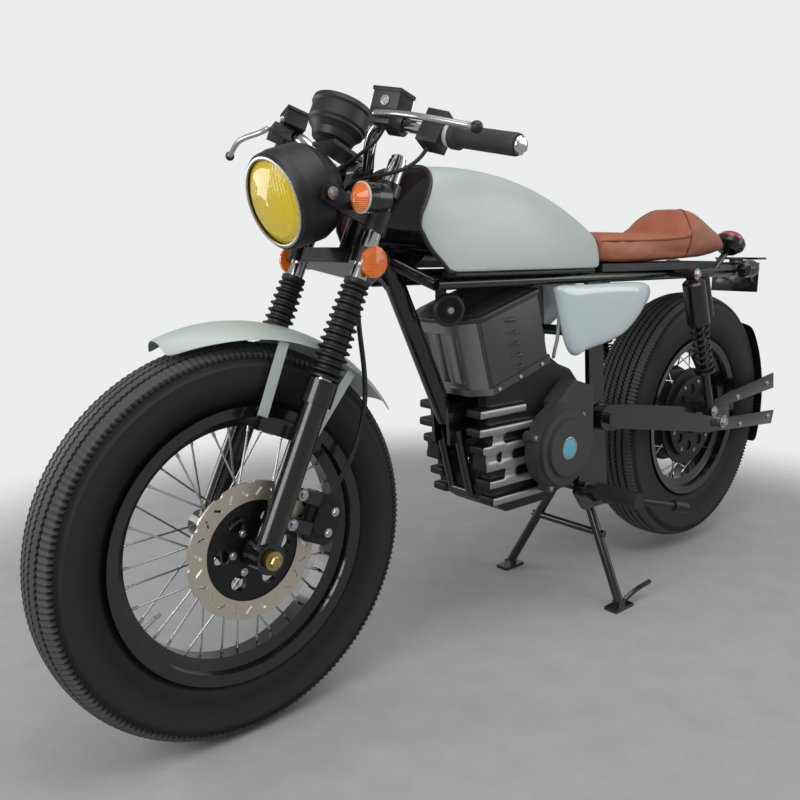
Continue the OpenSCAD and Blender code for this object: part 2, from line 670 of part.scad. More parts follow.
module main_frame() color(black) {
  fork_frame() difference() {
    stem_bar(stem_r + 12, head_s0, head_s1);
    stem_bar(stem_r + run, head_s0 - 1, head_s1 + 1);
  }
  place() {
    difference() {
      union() {
        rod(down_top, down_end, down_r);
        rod([down_top.x + 20, 0, down_top.z + 18], [backbone_x, 0, backbone_z], 24);
        plate([[head_mid.x - 20, head_mid.z + 24], [head_mid.x - 4, head_mid.z - 36],
          [down_top.x - 20, down_top.z - 80],
          [down_top.x - 130, down_top.z + 10]], -8, 8);
      }
      fork_axes() stem_bar(stem_r + 6, head_s0 - 40, head_s1 + 40);
    }
    both_sides() {
      rod([rail_front, rail_half, rail_z], [rail_rear, rail_half - rail_taper, rail_z], rail_r);
      across(shock_top.x, shock_top.z, 8, rail_half - 18, shock_half - 12 - seat_gap);
      rod([rail_front + 4, rail_half + 6, rail_z], [down_top.x - 10, 0, down_top.z - 20], rail_r);
      plate([[pivot_x - 26, pivot_z - 20], [pivot_x - 20, pivot_z + 40], [pivot_x + 8, rail_z - 4],
        [pivot_x + 58, rail_z - 4],
        [pivot_x + 34, pivot_z + 40], [pivot_x + 40, pivot_z - 40], [peg_x + 22, peg_z - 14],
        [stand_x + 60, stand_hinge_z - 34], [stand_x - 24, stand_hinge_z - 34],
          [stand_x - 22, stand_hinge_z + 20]], plate_in, plate_out);
      across(peg_x, peg_z, 14, plate_out - 2, plate_out + 14);
      plate([[case_slot + seat_gap, down_end.z + 46], [down_end.x + 22, down_end.z + 30],
        [down_end.x + 14, down_end.z - 50],
        [case_slot + seat_gap, down_end.z - 40]], down_r - 2, down_r + 6);
      rod([down_end.x - 6, prong_half - 4, down_end.z - 20], [prong_end.x, prong_half - 4, prong_end.z],
        10);
    }
    rod([backbone_x, -rail_half, rail_z], [backbone_x, rail_half, rail_z], rail_r - 2);
    rod([backbone_x, 0, rail_z], [backbone_x, 0, backbone_z - 6], 14);
    for (x = [backbone_x + 20, tank_crest]) let (y = tank_side(x) - tank_wall - 2.4, z = backbone_z + 3)
      rod([x, -y, z], [x, y, z], 9);
    rod([rail_rear + 10, -rail_half + 20, rail_z], [rail_rear + 10, rail_half - 20, rail_z], rail_r - 2);
    across(stand_x, stand_hinge_z, stand_pin_r, -plate_in - 1, plate_in + 1);
    translate(side_hinge) rotate([side_tilt, 0, 0]) translate([0, 0, -42])
      cylinder(h = 53, r = side_pin_r);
    rod([prong_end.x + 4, -prong_half, prong_end.z + 6], [prong_end.x + 4, prong_half, prong_end.z + 6],
      8);
    rod([pivot_x + 20, -plate_in - 4, 640], [pivot_x + 20, plate_in + 4, 640], 12);
  }
}

// Drive unit

box_mid = [pivot_x + 280, 0, pivot_z + 119];
module box_frame() place() translate(box_mid) rotate([0, box_lean, 0]) children();

box_front = 112;
module box_outline(grow) {
  side = box_half + grow;
  rear = -box_len / 2 - grow;
  corner = box_len / 2 - 4 + min(grow, 0);
  polygon([[rear, -side + 8], [rear + 8, -side], [corner, -side], [box_front + grow, 42 - box_half],
    [box_front + grow, box_half - 42], [corner, side], [rear + 8, side], [rear, side - 8]]);
}

// Box with concave channels down its front and five louvres in each side
module battery_box() color(dark) box_frame() difference() {
  union() {
    linear_extrude(box_h) box_outline(0);
    linear_extrude(14) box_outline(4);
  }
  for (y = [-36, 0, 36]) translate([box_front + 8, y, 24]) cylinder(h = box_h - 46, r = 17);
  for (side = [-1, 1], i = [0:4]) translate([-34 + 17 * i, side * box_half, 52 + 20 * i])
    rotate([0, -24, 0]) cube([34, 8, 7], center = true);
}

// Lid that rises in steps: height of each step's foot, its thickness and how far it is drawn in
lid_steps = [[0, 10, -3], [10, 5, 8], [15, 6, 22], [21, 5, 36]];
module battery_lid() color(dark) box_frame() translate([0, 0, box_h + seat_gap])
  for (s = lid_steps) translate([0, 0, s[0]]) linear_extrude(s[1]) box_outline(-s[2]);

// Case of the drive unit: an extruded core with deep cooling fins
case_outline = [[548, 420], [556, 345], [600, 296], [690, 276], [800, 276], [846, 306], [868, 400],
  [868, 560], [690, 610],
  [640, 580], [600, 566], [556, 520]];
fin_pitch = 38;
fin_t = 18;
fin_z = 302;
fin_out = case_half + 14;
case_slot = 838;
// Bosses between the fins: the fin below and the rear end
case_bosses = [[1, 786], [2, 798], [2, 846], [3, 826]];
module motor_case() color(cast) place() {
  translate([case_slot - 2, 2 - down_r + seat_gap, 446]) cube([42, 2 * (down_r - 2 - seat_gap), 52]);
  difference() {
    union() {
      plate(case_outline, -case_half, case_half);
      for (i = [0:fin_count - 1])
        let (front = 858 + 11 * i - (i > 4 ? 12 : 0), back = i > 4 ? 760 : 690)
        translate([back, -fin_out, fin_z + fin_pitch * i]) cube([front - back, 2 * fin_out, fin_t]);
      for (b = case_bosses) translate([b[1], 3 - fin_out, fin_z + fin_pitch * b[0] + fin_t - 1])
        cube([34, 2 * fin_out - 6, fin_pitch - fin_t + 2]);
    }
    for (i = [0:fin_count - 1])
      translate([case_slot + 11 * i - 4, -48, fin_z + fin_pitch * i - 2]) cube([90, 96, fin_t + 4]);
    translate([case_slot, -48, 240]) cube([120, 96, 400]);
    translate(box_mid) rotate([0, box_lean, 0]) translate([-200, -200, -seat_gap]) cube([400, 400, 200]);
    translate([640, fin_out + 4, 240]) cube([60, 20, 400]);
  }
}

cover_x = 676;
cover_z = 408;
cover_r = 90;
module round_cover(face) {
  difference() {
    union() {
      across(cover_x, cover_z, cover_r, case_half + seat_gap, face - 14);
      across(cover_x, cover_z, cover_r - 8, face - 14, face - 6);
      across(cover_x, cover_z, 62, face - 6, face);
      plate([[cover_x - 118, cover_z - 20], [cover_x - 110, cover_z + 120],
        [cover_x - 40, cover_z + 142], [cover_x + 30, cover_z + 84],
        [cover_x + 20, cover_z - 60], [cover_x - 70, cover_z - 72]], case_half + seat_gap, face - 26);
      for (a = [20, 140, 215, 290]) across(cover_x + 92 * cos(a), cover_z + 92 * sin(a), 12,
        case_half + seat_gap, face - 22);
    }
    plate([[cover_x + 14, cover_z - 140], [cover_x + 14, cover_z + 140], [cover_x + 140, cover_z + 140],
      [cover_x + 140, cover_z - 140]],
      case_half - 1, case_half + 14 + seat_gap);
    plate([[pivot_x - 30, 200], [pivot_x - 30, 640], [cover_x - 118, 640], [cover_x - 118, 200]],
      0, plate_out + 4);
    across(cover_x, cover_z, 26, face - 2, face + 1);
  }
}

module case_cover_left() color(cast) place() round_cover(142);

module case_cover_right() color(cast) place() mirror([0, 1, 0]) round_cover(132);

// Body panels

// How far the tank's mouth lies behind its front end, by the share of the tank's height
tank_mouth = [[0, 66], [0.25, 18], [0.45, 0], [0.55, 4], [0.68, 22], [0.83, 42], [1, 60]];
function tank_x(u, h) = tank_rear + (tank_front - lookup(h, tank_mouth) - tank_rear) * u;
tank_crest = 960;
function tank_roof(x) = x < tank_crest ? tank_top - 114 * pow((tank_crest - x) / 440, 2) :
  tank_top - 20 * pow((x - tank_crest) / 150, 2);
function tank_side(x) = x < tank_crest ? tank_half - 46 * pow((tank_crest - x) / 440, 2) :
  tank_half - 10 * pow((x - tank_crest) / 150, 2);
tank_steps = 14;
tank_arc = 18;
function tank_point(u, a, wall) =
  let (h = pow(abs(sin(a)), 0.85), x = tank_x(u, h), w = tank_side(x) - wall,
    rise = tank_roof(x) - tank_base - wall)
  [x, (cos(a) < 0 ? -1 : 1) * w * pow(abs(cos(a)), 0.45), tank_base + rise * h];
function tank_ring(u) = concat([for (j = [0:tank_arc]) tank_point(u, 180 * j / tank_arc, 0)],
  [for (j = [tank_arc:-1:0]) tank_point(u, 180 * j / tank_arc, tank_wall)]);
module tank() color(paint) place() skin([for (i = [0:tank_steps]) tank_ring(i / tank_steps)], true);

// Rubber edge along both lower sides of the tank
module tank_trim() color(rubber) place() both_sides()
  bent_tube([for (i = [0:10]) let (x = tank_rear + 20 + (1016 - tank_rear - 20) * i / 10)
    [x, tank_side(x) - 3, tank_base - trim_r - 0.5]], trim_r, 8);

// Seat sections: distance from the rear axle, half width, and heights of the underside and the top over
// the base
seat_base = tank_base + 9;
seat_sections = [[tank_rear - 1, 98, 1, 63], [tank_rear - 26, 104, 0, 71], [450, seat_half, 0, 73],
  [400, seat_half, 0, 79], [350, seat_half, 0, 101], [300, seat_half, 1, 123],
    [230, seat_half, 3, seat_hump],
  [150, 106, 6, seat_hump - 1], [70, 92, 9, 121], [0, 76, 13, 99], [-70, 58, 19, 77], [-130, 36, 27, 57],
  [-165, 16, 35, 47]];
seat_sides = 20;
function seat_ring(s) = [for (k = [0:seat_sides - 1])
  let (a = 360 * k / seat_sides, c = cos(a), d = sin(a), mid = seat_base + (s[2] + s[3]) / 2)
  [s[0], sign(c) * s[1] * pow(abs(c), 0.45), mid + sign(d) * (s[3] - s[2]) / 2 * pow(abs(d), 0.6)]];
module seat() color(leather) place() skin([for (i = [len(seat_sections) - 1:-1:0])
  seat_ring(seat_sections[i])]);

// Seat pan between the rails and the seat: distance from the rear axle and half width of its outline
pan_z = rail_z + rail_r + seat_gap;
pan_outline = [[tank_rear - 8, 88], [220, 98], [100, 84], [-40, 56]];
module seat_pan() color(black) place() translate([0, 0, pan_z])
  linear_extrude(seat_base - seat_gap - pan_z)
  polygon(concat(pan_outline,
    [for (i = [len(pan_outline) - 1:-1:0]) [pan_outline[i][0], -pan_outline[i][1]]]));

// Teardrop side covers under the seat rails
cover_outline = [[696, 752], [620, 753], [420, 753], [356, 742], [362, 706], [434, 646], [507, 622],
  [600, 608], [630, 600],
  [664, 632], [698, 724]];
cover_mid = [560, 690];
// Sections of the dome: distance out from its back, and share by which the outline is drawn in
cover_dome = [[24, 0.34], [22, 0.14], [17, 0.04], [10, 0], [0, 0]];
cover_y = plate_out + 10;
module side_covers() color(gloss) place() both_sides() {
  skin([for (d = cover_dome) [for (p = closed(cover_outline, 3))
    let (q = cover_mid + (1 - d[1]) * (p - cover_mid)) [q[0], cover_y + d[0], q[1]]]]);
  across(pivot_x + 32, 690, 8, plate_out + seat_gap, cover_y + 5);
}

horn_at = [976, 70, rail_z - 51];
module horn() color(black) place() {
  translate(horn_at) rotate([-90, 0, -20]) rotate_extrude() polygon([[0, -16], [18, -16], [26, -8],
    [32, 0], [32, 8], [28, 11], [0, 13]]);
  translate([horn_at.x - 12, horn_at.y - 22, horn_at.z]) cube([24, 6, rail_z - horn_at.z]);
  translate([horn_at.x - 12, horn_at.y - 22, rail_z - 6])
    cube([24, rail_half - rail_r - 2 - horn_at.y + 22, 6]);
}

peg_out = 240;
module footpegs() color(rubber) place() both_sides() {
  across(peg_x, peg_z, 10, plate_out + 14 + seat_gap, 132);
  difference() {
    across(peg_x, peg_z, 19, 132, peg_out);
    for (i = [0:6]) for (a = [0:60:300]) translate([peg_x, 146 + 12 * i, peg_z]) rotate([0, a, 0])
      translate([18, 0, -6]) cube([4, 5, 12]);
  }
}

// Swingarm and rear suspension

module swingarm() color(black) place() {
  difference() {
    union() {
      both_sides() {
        plate([[pivot_x, pivot_z + 30], [pivot_x - 60, pivot_z + 24], [60, rear_z + 44],
          [-36, rear_z + 36], [-36, rear_z - 22],
          [40, rear_z - 26], [pivot_x - 60, pivot_z - 34], [pivot_x, pivot_z - 30]], arm_in, arm_out);
        across(pivot_x, pivot_z, 30, arm_in, arm_out);
        across(pivot_x, pivot_z, 20, plate_out + seat_gap, arm_in + 1);
        across(pivot_x, pivot_z, 14, arm_out - 1, arm_out + 12);
        across(shock_low.x, shock_low.z, 9, arm_out - 1, shock_half - 12 - seat_gap);
      }
      rod([pivot_x - 92, -arm_in - 2, pivot_z - 8], [pivot_x - 92, arm_in + 2, pivot_z - 8], 16);
    }
    across(0, rear_z, rear_axle_r, -200, 200);
  }
}

shock_top = [229, 0, rail_z + 3];
shock_low = [100, 0, 416];
shock_len = norm(shock_top - shock_low);
module shock_axis() place() both_sides() translate([shock_low.x, shock_half, shock_low.z])
  rotate([0, atan2(shock_top.x - shock_low.x, shock_top.z - shock_low.z), 0]) children();

// Damper with eyes, a wide upper sleeve and a reservoir beside it
module shock_bodies() color(black) shock_axis() {
  for (s = [0, shock_len]) translate([0, -12, s]) rotate([-90, 0, 0]) cylinder(h = 24, r = 15);
  rotate_extrude() polygon([[0, 10], [10.5, 10], [10.5, 112], [25, 112], [25, 120], [9, 120], [9, 246],
    [27, 246],
    [27, 352], [22, 357], [10.5, 357], [10.5, shock_len - 8], [0, shock_len - 8]]);
  translate([-46, 0, 246]) cylinder(h = 108, r = 14);
  translate([-44, -6, 334]) cube([30, 12, 12]);
}

spring_r = 21;
spring_turns = 7;
spring_wire = 3.6;
module shock_springs() color(rubber) shock_axis() {
  steps = spring_turns * 12;
  s0 = 120 + spring_wire + seat_gap;
  s1 = 246 - spring_wire - seat_gap;
  bent_tube([for (i = [0:steps]) let (a = 30 * i) [spring_r * cos(a), spring_r * sin(a), s0 + (s1 - s0)
    * i / steps]], spring_wire, 6);
}

// Hugger: a shell behind the rear tyre, held by two pairs of brackets
hugger_r = tyre_r + 17;
hugger_half = 78;
hugger_from = 136;
hugger_to = 200;
hugger_steps = 12;
function hugger_point(angle, k, inset) =
  let (r = hugger_r - inset - 18 * pow(abs(k), 3)) [r * cos(angle), (hugger_half - inset) * k,
    r * sin(angle)];
function hugger_ring(i) = let (angle = hugger_from + (hugger_to - hugger_from) * i / hugger_steps)
  concat([for (j = [0:8]) hugger_point(angle, -1 + j / 4, 0)],
    [for (j = [8:-1:0]) hugger_point(angle, -1 + j / 4, 3)]);
module hugger() color(black) rear_axis() skin([for (i = [0:hugger_steps]) hugger_ring(i)], true);

prong_y = arm_in - seat_gap;
module hugger_brackets() color(black) rear_axis() both_sides() {
  plate([[-20, 52], [-20, -24], [-60, -40], [-prong_reach + 10, -64], [-prong_reach, -24], [-110, -8],
    [-104, 30], [-prong_reach + 14, 46],
    [-prong_reach + 22, 92], [-110, 64]], prong_y - 4, prong_y);
  for (z = [-41, 66]) let (r = hugger_r - 19.5)
    across(-sqrt(r * r - z * z), z, 7, hugger_half + seat_gap, prong_y - 3);
}

module rear_caliper() color(black) place() difference() {
  translate([62, -arm_in + seat_gap, rear_z + 34]) cube([78, arm_in + rear_disc_y + 22, 62]);
  across(0, rear_z, 116, rear_disc_y - 4, rear_disc_y + 8);
  across(0, rear_z, 86, rear_disc_y - 1, -20);
}

// Tail

tail_x = -222;
tail_half = 46;
tail_base = rail_z - 6;
tail_z = rail_z + 81;
tail_tilt = -30;
module tail_lamp() color("#b01020") place() translate([tail_x, 0, tail_z]) rotate([0, tail_tilt, 0])
  rotate_extrude() polygon([[0, seat_gap], [42, seat_gap], [40, 8], [30, 20], [14, 26], [0, 27]]);

module tail_holder() color(black) place() {
  translate([tail_x, 0, tail_z]) rotate([0, tail_tilt, 0])
    rotate_extrude() polygon([[0, 0], [44, 0], [42, -14], [26, -30], [0, -34]]);
  rod([tail_x + 4, 0, tail_z - 20], [rail_rear - 44, 0, tail_base + 8], 9);
  translate([rail_rear - 62, -tail_half, tail_base]) cube([61.4, 2 * tail_half, 16]);
}

rear_indicator = [-110, 112, rail_z + 9];
module rear_indicators() color(black) place() both_sides() {
  translate(rear_indicator) rotate([0, -90, 0]) rotate_extrude() polygon([[0, -34], [14, -31], [22, -22],
    [24, 0], [24, 18], [22, 26], [0, 30]]);
  across(rear_indicator.x - 6, rear_indicator.z - 7, 6.5, tail_half, rear_indicator.y - 16);
}

flap_x = -268;
flap_half = 70;
flap_base = rail_z - 61;
flap_h = 84;
loop_z = flap_base + 92;
plate_hole_r = 3.3;
plate_hole_gap = 90;
module plate_bracket() color(black) place() {
  difference() {
    translate([flap_x, -flap_half, flap_base]) cube([4, 2 * flap_half, flap_h]);
    for (side = [-1, 1]) translate([flap_x - 1, side * plate_hole_gap / 2, flap_base + 50])
      rotate([0, 90, 0]) cylinder(h = 6, r = plate_hole_r);
  }
  plate([[flap_x + 1, flap_base + flap_h], [flap_x + 1, flap_base + flap_h - 10],
    [rail_rear - 66, tail_base - 10],
    [rail_rear - 8, tail_base - 10], [rail_rear - 8, tail_base - seat_gap],
      [rail_rear - 70, tail_base - seat_gap]],
    -40, 40);
  difference() {
    translate([flap_x - 52, -64, loop_z]) cube([56, 128, 6]);
    translate([flap_x - 44, -56, loop_z - 6]) cube([34, 112, 20]);
  }
  translate([flap_x - 2, -20, flap_base + flap_h - 4]) cube([6, 40, 18]);
}

breather_route = [[604, 86, 752], [606, 88, 700], [610, 88, 660], [622, 84, 634], [638, 76, 614],
  [650, 68, 594]];
module breather_tube() color("#dcdcdc") place() bent_tube(smooth(breather_route, 3), 4, 8, [0, 1, 0]);

// Stands

stand_foot_x = stand_x + 22;
module center_stand() color(black) place() {
  difference() {
    union() {
      across(stand_x, stand_hinge_z, 15, -stand_hinge_half - 10, stand_hinge_half + 10);
      both_sides() {
        rod([stand_x, stand_hinge_half - 4, stand_hinge_z], [stand_foot_x, foot_half, 14], 11);
        translate([stand_foot_x - 34, foot_half - 16, 0]) cube([68, 34, 8]);
        translate([stand_foot_x - 12, foot_half - 10, 4]) cube([24, 20, 16]);
      }
      rod([stand_x + 6, -foot_half + 60, 160], [stand_x + 6, foot_half - 60, 160], 9);
    }
    across(stand_x, stand_hinge_z, stand_pin_r + run, -200, 200);
  }
  bent_tube(smooth([[stand_foot_x - 8, foot_half + 4, 12], [stand_foot_x - 50, foot_half + 8, 30],
    [stand_foot_x - 110, foot_half + 10, 38]], 4), 6, 8);
}

// Side stand, folded back along the left side
side_dir = unit([-0.925, 0.3, -0.235]);
module side_stand() color(silver) place() {
  difference() {
    union() {
      translate(side_hinge) rotate([side_tilt, 0, 0]) translate([0, 0, -8]) cylinder(h = 16, r = 16);
      rod(side_hinge, side_hinge + side_leg * side_dir, 9);
      rod(side_hinge + (side_leg - 26) * side_dir, side_hinge + (side_leg + 14) * side_dir, 14);
    }
    translate(side_hinge) rotate([side_tilt, 0, 0]) translate([0, 0, -30])
      cylinder(h = 60, r = side_pin_r + run);
  }
}

main_frame();
battery_box();
battery_lid();
motor_case();
case_cover_left();
case_cover_right();
tank();
tank_trim();
seat();
seat_pan();
side_covers();
horn();
footpegs();
swingarm();
shock_bodies();
shock_springs();
rear_axle();
hugger();
hugger_brackets();
tail_lamp();
tail_holder();
rear_indicators();
plate_bracket();
rear_caliper();
breather_tube();
lower_yoke();
upper_yoke();
fork_tubes();
fork_gaiters();
fork_lowers();
front_axle();
front_fender();
fender_stays();
headlight_bucket();
headlight_rim();
headlight_lens();
headlight_brackets();
indicator_bodies();
amber_lenses();
handlebar();
grips();
levers();
brake_masters();
switch_pods();
speedometer();
front_caliper();
brake_hose();
control_cables();
front_tyre();
front_rim();
front_hub();
front_disc();
rear_tyre();
rear_rim();
hub_motor();
rear_disc();
center_stand();
side_stand();
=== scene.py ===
# %% [markdown]
# An electric motorcycle in café-racer style, standing on its centre stand, is dressed here for a picture.
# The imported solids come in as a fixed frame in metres. What is right stays and only gets a finish, and what needs
# a softer or finer form is built over it.

# %% Load the frame
import json
import math

import bmesh
import bpy
from mathutils import Matrix, Vector
from mathutils.bvhtree import BVHTree

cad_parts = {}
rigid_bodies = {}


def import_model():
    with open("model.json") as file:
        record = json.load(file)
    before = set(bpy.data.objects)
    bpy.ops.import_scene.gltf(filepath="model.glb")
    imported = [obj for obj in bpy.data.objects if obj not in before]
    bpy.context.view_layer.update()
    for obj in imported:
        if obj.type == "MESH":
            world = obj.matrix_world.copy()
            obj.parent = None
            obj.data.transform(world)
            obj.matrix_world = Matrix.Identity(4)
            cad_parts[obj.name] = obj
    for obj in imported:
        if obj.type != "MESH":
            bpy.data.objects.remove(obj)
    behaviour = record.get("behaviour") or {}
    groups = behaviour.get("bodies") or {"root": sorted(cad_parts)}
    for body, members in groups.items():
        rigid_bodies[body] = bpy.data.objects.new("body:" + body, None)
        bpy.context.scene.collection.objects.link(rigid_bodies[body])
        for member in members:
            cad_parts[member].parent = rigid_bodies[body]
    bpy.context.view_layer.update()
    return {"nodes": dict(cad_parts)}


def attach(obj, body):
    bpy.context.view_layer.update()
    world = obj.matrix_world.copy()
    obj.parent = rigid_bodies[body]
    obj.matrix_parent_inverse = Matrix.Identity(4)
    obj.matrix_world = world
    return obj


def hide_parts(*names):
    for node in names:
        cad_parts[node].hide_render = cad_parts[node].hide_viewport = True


for leftover in list(bpy.data.objects):
    bpy.data.objects.remove(leftover)
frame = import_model()
nodes = frame["nodes"]


# %% [markdown]
# The photograph was taken from the left front at chest height, about two metres away, so the front wheel looks
# large. A camera could be placed by eye, but here its place, direction and lens come from fitting both wheels'
# circles and the length between the axles. The picture is square, so the sensor's width is also its height.

# %% Camera
def placed(name, data):
    """A new object in the scene."""
    made = bpy.data.objects.new(name, data)
    bpy.context.scene.collection.objects.link(made)
    return made


CAMERA_AT = Vector((1.37998, 1.18665, 0.83121))
CAMERA_YAW = -2.2844
CAMERA_PITCH = -0.1852
lens = bpy.data.cameras.new("photo_camera")
lens.lens = 36.69
lens.sensor_width = 36.0
lens.clip_start = 0.05
camera = placed("photo_camera", lens)
level = math.cos(CAMERA_PITCH)
ahead = Vector((level * math.cos(CAMERA_YAW), level * math.sin(CAMERA_YAW), math.sin(CAMERA_PITCH)))
camera.location = CAMERA_AT
camera.rotation_euler = ahead.to_track_quat("-Z", "Y").to_euler()
bpy.context.scene.camera = camera
print("camera looks along", [round(x, 3) for x in ahead])

# %% [markdown]
# Two frames of reference keep the numbers readable. Lengths along the motorcycle are counted in millimetres from
# the rear axle, as a workshop would. The fork leans back by the rake, so what sits on it is counted along the fork:
# ahead of the legs, to the left, and up the legs from the front axle.

# %% Places on the motorcycle
REAR_AXLE_X = 0.6825
FRONT_AXLE = Vector((1.410 - REAR_AXLE_X, 0, 0.340))
REAR_AXLE = Vector((-REAR_AXLE_X, 0, 0.370))
RAKE = math.radians(24.4)
LEFT = Vector((0, 1, 0))
UP = Vector((0, 0, 1))
# The middle of the headlight's bowl, counted along the fork
HEADLIGHT_AT = (140, 0, 557)


def spot(x, y, z):
    """A place in the shared frame from millimetres ahead of the rear axle, to the left and up."""
    return Vector((x / 1000 - REAR_AXLE_X, y / 1000, z / 1000))


def fork_way(a, y, s):
    """A direction from its parts ahead of the fork, to the left and up the fork."""
    return Vector((a * math.cos(RAKE) - s * math.sin(RAKE), y, a * math.sin(RAKE) + s * math.cos(RAKE)))


def fork_spot(a, y, s):
    """A place in the shared frame from millimetres ahead of the fork legs, to the left and up the fork."""
    return FRONT_AXLE + fork_way(a / 1000, y / 1000, s / 1000)


print("headlight at", [round(x, 3) for x in fork_spot(*HEADLIGHT_AT)])


# %% [markdown]
# Every finish is built from the same start: a Principled shader whose colour wanders a little between two tones,
# and whose roughness and relief follow a grain of a real size. Flat colours look like plastic toys, and image
# textures would not survive other sizes, so the pattern is worked out from the object's own coordinates.

# %% Material helpers
def linear(code):
    """A hex colour as the eye sees it, turned to the linear values that light is counted in."""
    shares = [int(code[i : i + 2], 16) / 255 for i in (1, 3, 5)]
    return [c / 12.92 if c <= 0.04045 else ((c + 0.055) / 1.055) ** 2.4 for c in shares] + [1.0]


def node(tree, kind, sockets=None, **settings):
    """Adds one node, with its settings, socket values and links."""
    made = tree.nodes.new(kind)
    for name, value in settings.items():
        setattr(made, name, value)
    for name, value in (sockets or {}).items():
        if isinstance(value, bpy.types.NodeSocket):
            tree.links.new(value, made.inputs[name])
        else:
            made.inputs[name].default_value = value
    return made


def blank(name):
    """A new material, with its node tree, its shader and the coordinates of the object that wears it."""
    material = bpy.data.materials.new(name)
    material.use_nodes = True
    tree = material.node_tree
    return material, tree, tree.nodes["Principled BSDF"], node(tree, "ShaderNodeTexCoord").outputs


CLOUDS_PER_METRE = 14.0


def surface(name, tones, roughness, grain_mm, relief_mm=0.0, settings=None):
    """A finish that wanders between two tones, with a grain in its roughness and relief."""
    material, tree, shader, texture = blank(name)
    for socket, value in (settings or {}).items():
        shader.inputs[socket].default_value = value
    place = texture["Object"]
    cloud = node(tree, "ShaderNodeTexNoise", {"Vector": place, "Scale": CLOUDS_PER_METRE, "Detail": 3.0})
    grain = node(tree, "ShaderNodeTexNoise", {"Vector": place, "Scale": 1000 / grain_mm, "Detail": 4.0})
    tone = node(tree, "ShaderNodeMix", {0: cloud.outputs["Fac"], 6: linear(tones[0]), 7: linear(tones[1])},
                data_type="RGBA")
    rough = node(tree, "ShaderNodeMapRange", {"Value": grain.outputs["Fac"], "From Min": 0.3, "From Max": 0.7,
                                              "To Min": roughness[0], "To Max": roughness[1]})
    tree.links.new(tone.outputs[2], shader.inputs["Base Color"])
    tree.links.new(rough.outputs["Result"], shader.inputs["Roughness"])
    if relief_mm:
        bump = node(tree, "ShaderNodeBump", {"Height": grain.outputs["Fac"], "Distance": relief_mm / 1000})
        tree.links.new(bump.outputs["Normal"], shader.inputs["Normal"])
    return material


print("white turns to", linear("#ffffff"))

# %% [markdown]
# The painted pieces. The frame, fork lowers and stands are steel and alloy under glossy black lacquer, which shows
# as dark with sharp pale reflections. The tank and fender are sprayed a cool pale grey under clear coat: the coat
# gives a broad highlight, and the colour below stays soft. The side covers are moulded and glossier still.

# %% Paints
COAT = {"Coat Weight": 1.0, "Coat Roughness": 0.05}
# Black lacquer over steel: nearly no colour of its own, and clear reflections with a faint orange peel
black_lacquer = surface("black_lacquer_on_steel", ("#0b0b0c", "#121213"), (0.18, 0.30), 6, 0.010,
                        {"IOR": 1.5, "Coat Weight": 0.5, "Coat Roughness": 0.06})
# Powder coat: satin black with a fine pebble that breaks the reflections up
satin_black = surface("satin_black_powder_coat", ("#111112", "#19191a"), (0.38, 0.52), 1.6, 0.02, {"IOR": 1.5})
# Sprayed body colour under rubbed clear coat: an even cool grey with a soft wander and a broad highlight
body_lacquer = surface("pale_grey_lacquer", ("#adb6b3", "#b8c0bd"), (0.36, 0.44), 30, 0.0,
                       {"IOR": 1.5, "Coat Weight": 0.6, "Coat Roughness": 0.3})
# Glossy moulded cover: paler and bluer than the tank
cover_gloss = surface("pale_gloss_moulding", ("#bccacd", "#c8d5d8"), (0.16, 0.24), 40, 0.0, {"IOR": 1.5, **COAT})
print("paints:", black_lacquer.name, satin_black.name, body_lacquer.name, cover_gloss.name)

# %% [markdown]
# The bare and cast metals. Chrome is smooth and mirrors the room. Cast aluminium that was painted dark keeps the
# sand's pebble. The brake disc was ground flat, so its grain runs in rings round the axle.

# %% Metals
# Hard chrome on the fork tubes and handlebar: a clear mirror with hardly any grain
chrome = surface("hard_chrome", ("#c9cbcd", "#d6d7d8"), (0.05, 0.11), 20, 0.0, {"Metallic": 1.0})
# Zinc-plated steel for bolts and small parts: bright, a little milky
bright_steel = surface("zinc_plated_steel", ("#aeb0b2", "#c6c8ca"), (0.22, 0.36), 2, 0.01, {"Metallic": 1.0})
# Yellow passivated zinc on the axle nuts: a pale brass tint
yellow_zinc = surface("yellow_zinc_plate", ("#a8955a", "#c2b27c"), (0.28, 0.42), 2, 0.01, {"Metallic": 1.0})
# Cast aluminium, dark coated: grey black with a pebble from the sand
dark_casting = surface("dark_coated_casting", ("#3a3a39", "#474644"), (0.38, 0.54), 1.4, 0.05,
                       {"Metallic": 0.25, "IOR": 1.5})
# Enamelled sheet steel lid: charcoal with a soft sheen
charcoal_sheet = surface("charcoal_enamel_sheet", ("#2c2c2d", "#383838"), (0.28, 0.40), 0.9, 0.012,
                         {"Metallic": 0.2, "IOR": 1.5})
# Black anodised and cast brake parts
black_alloy = surface("black_coated_alloy", ("#0f0f10", "#1a1a1b"), (0.30, 0.44), 1.4, 0.03, {"Metallic": 0.3})
print("metals:", chrome.name, bright_steel.name, yellow_zinc.name, dark_casting.name, charcoal_sheet.name)


# %% [markdown]
# Three castings carry two finishes each: a wheel's hub is black while its wire spokes are bright, and the brake
# disc is a steel ring on a black spider. Splitting the solid would be one way. Here the distance from the axle
# chooses the finish instead, so each stays one piece.

# %% Finishes that change with the distance from an axle
RINGS_PER_METRE = 900.0


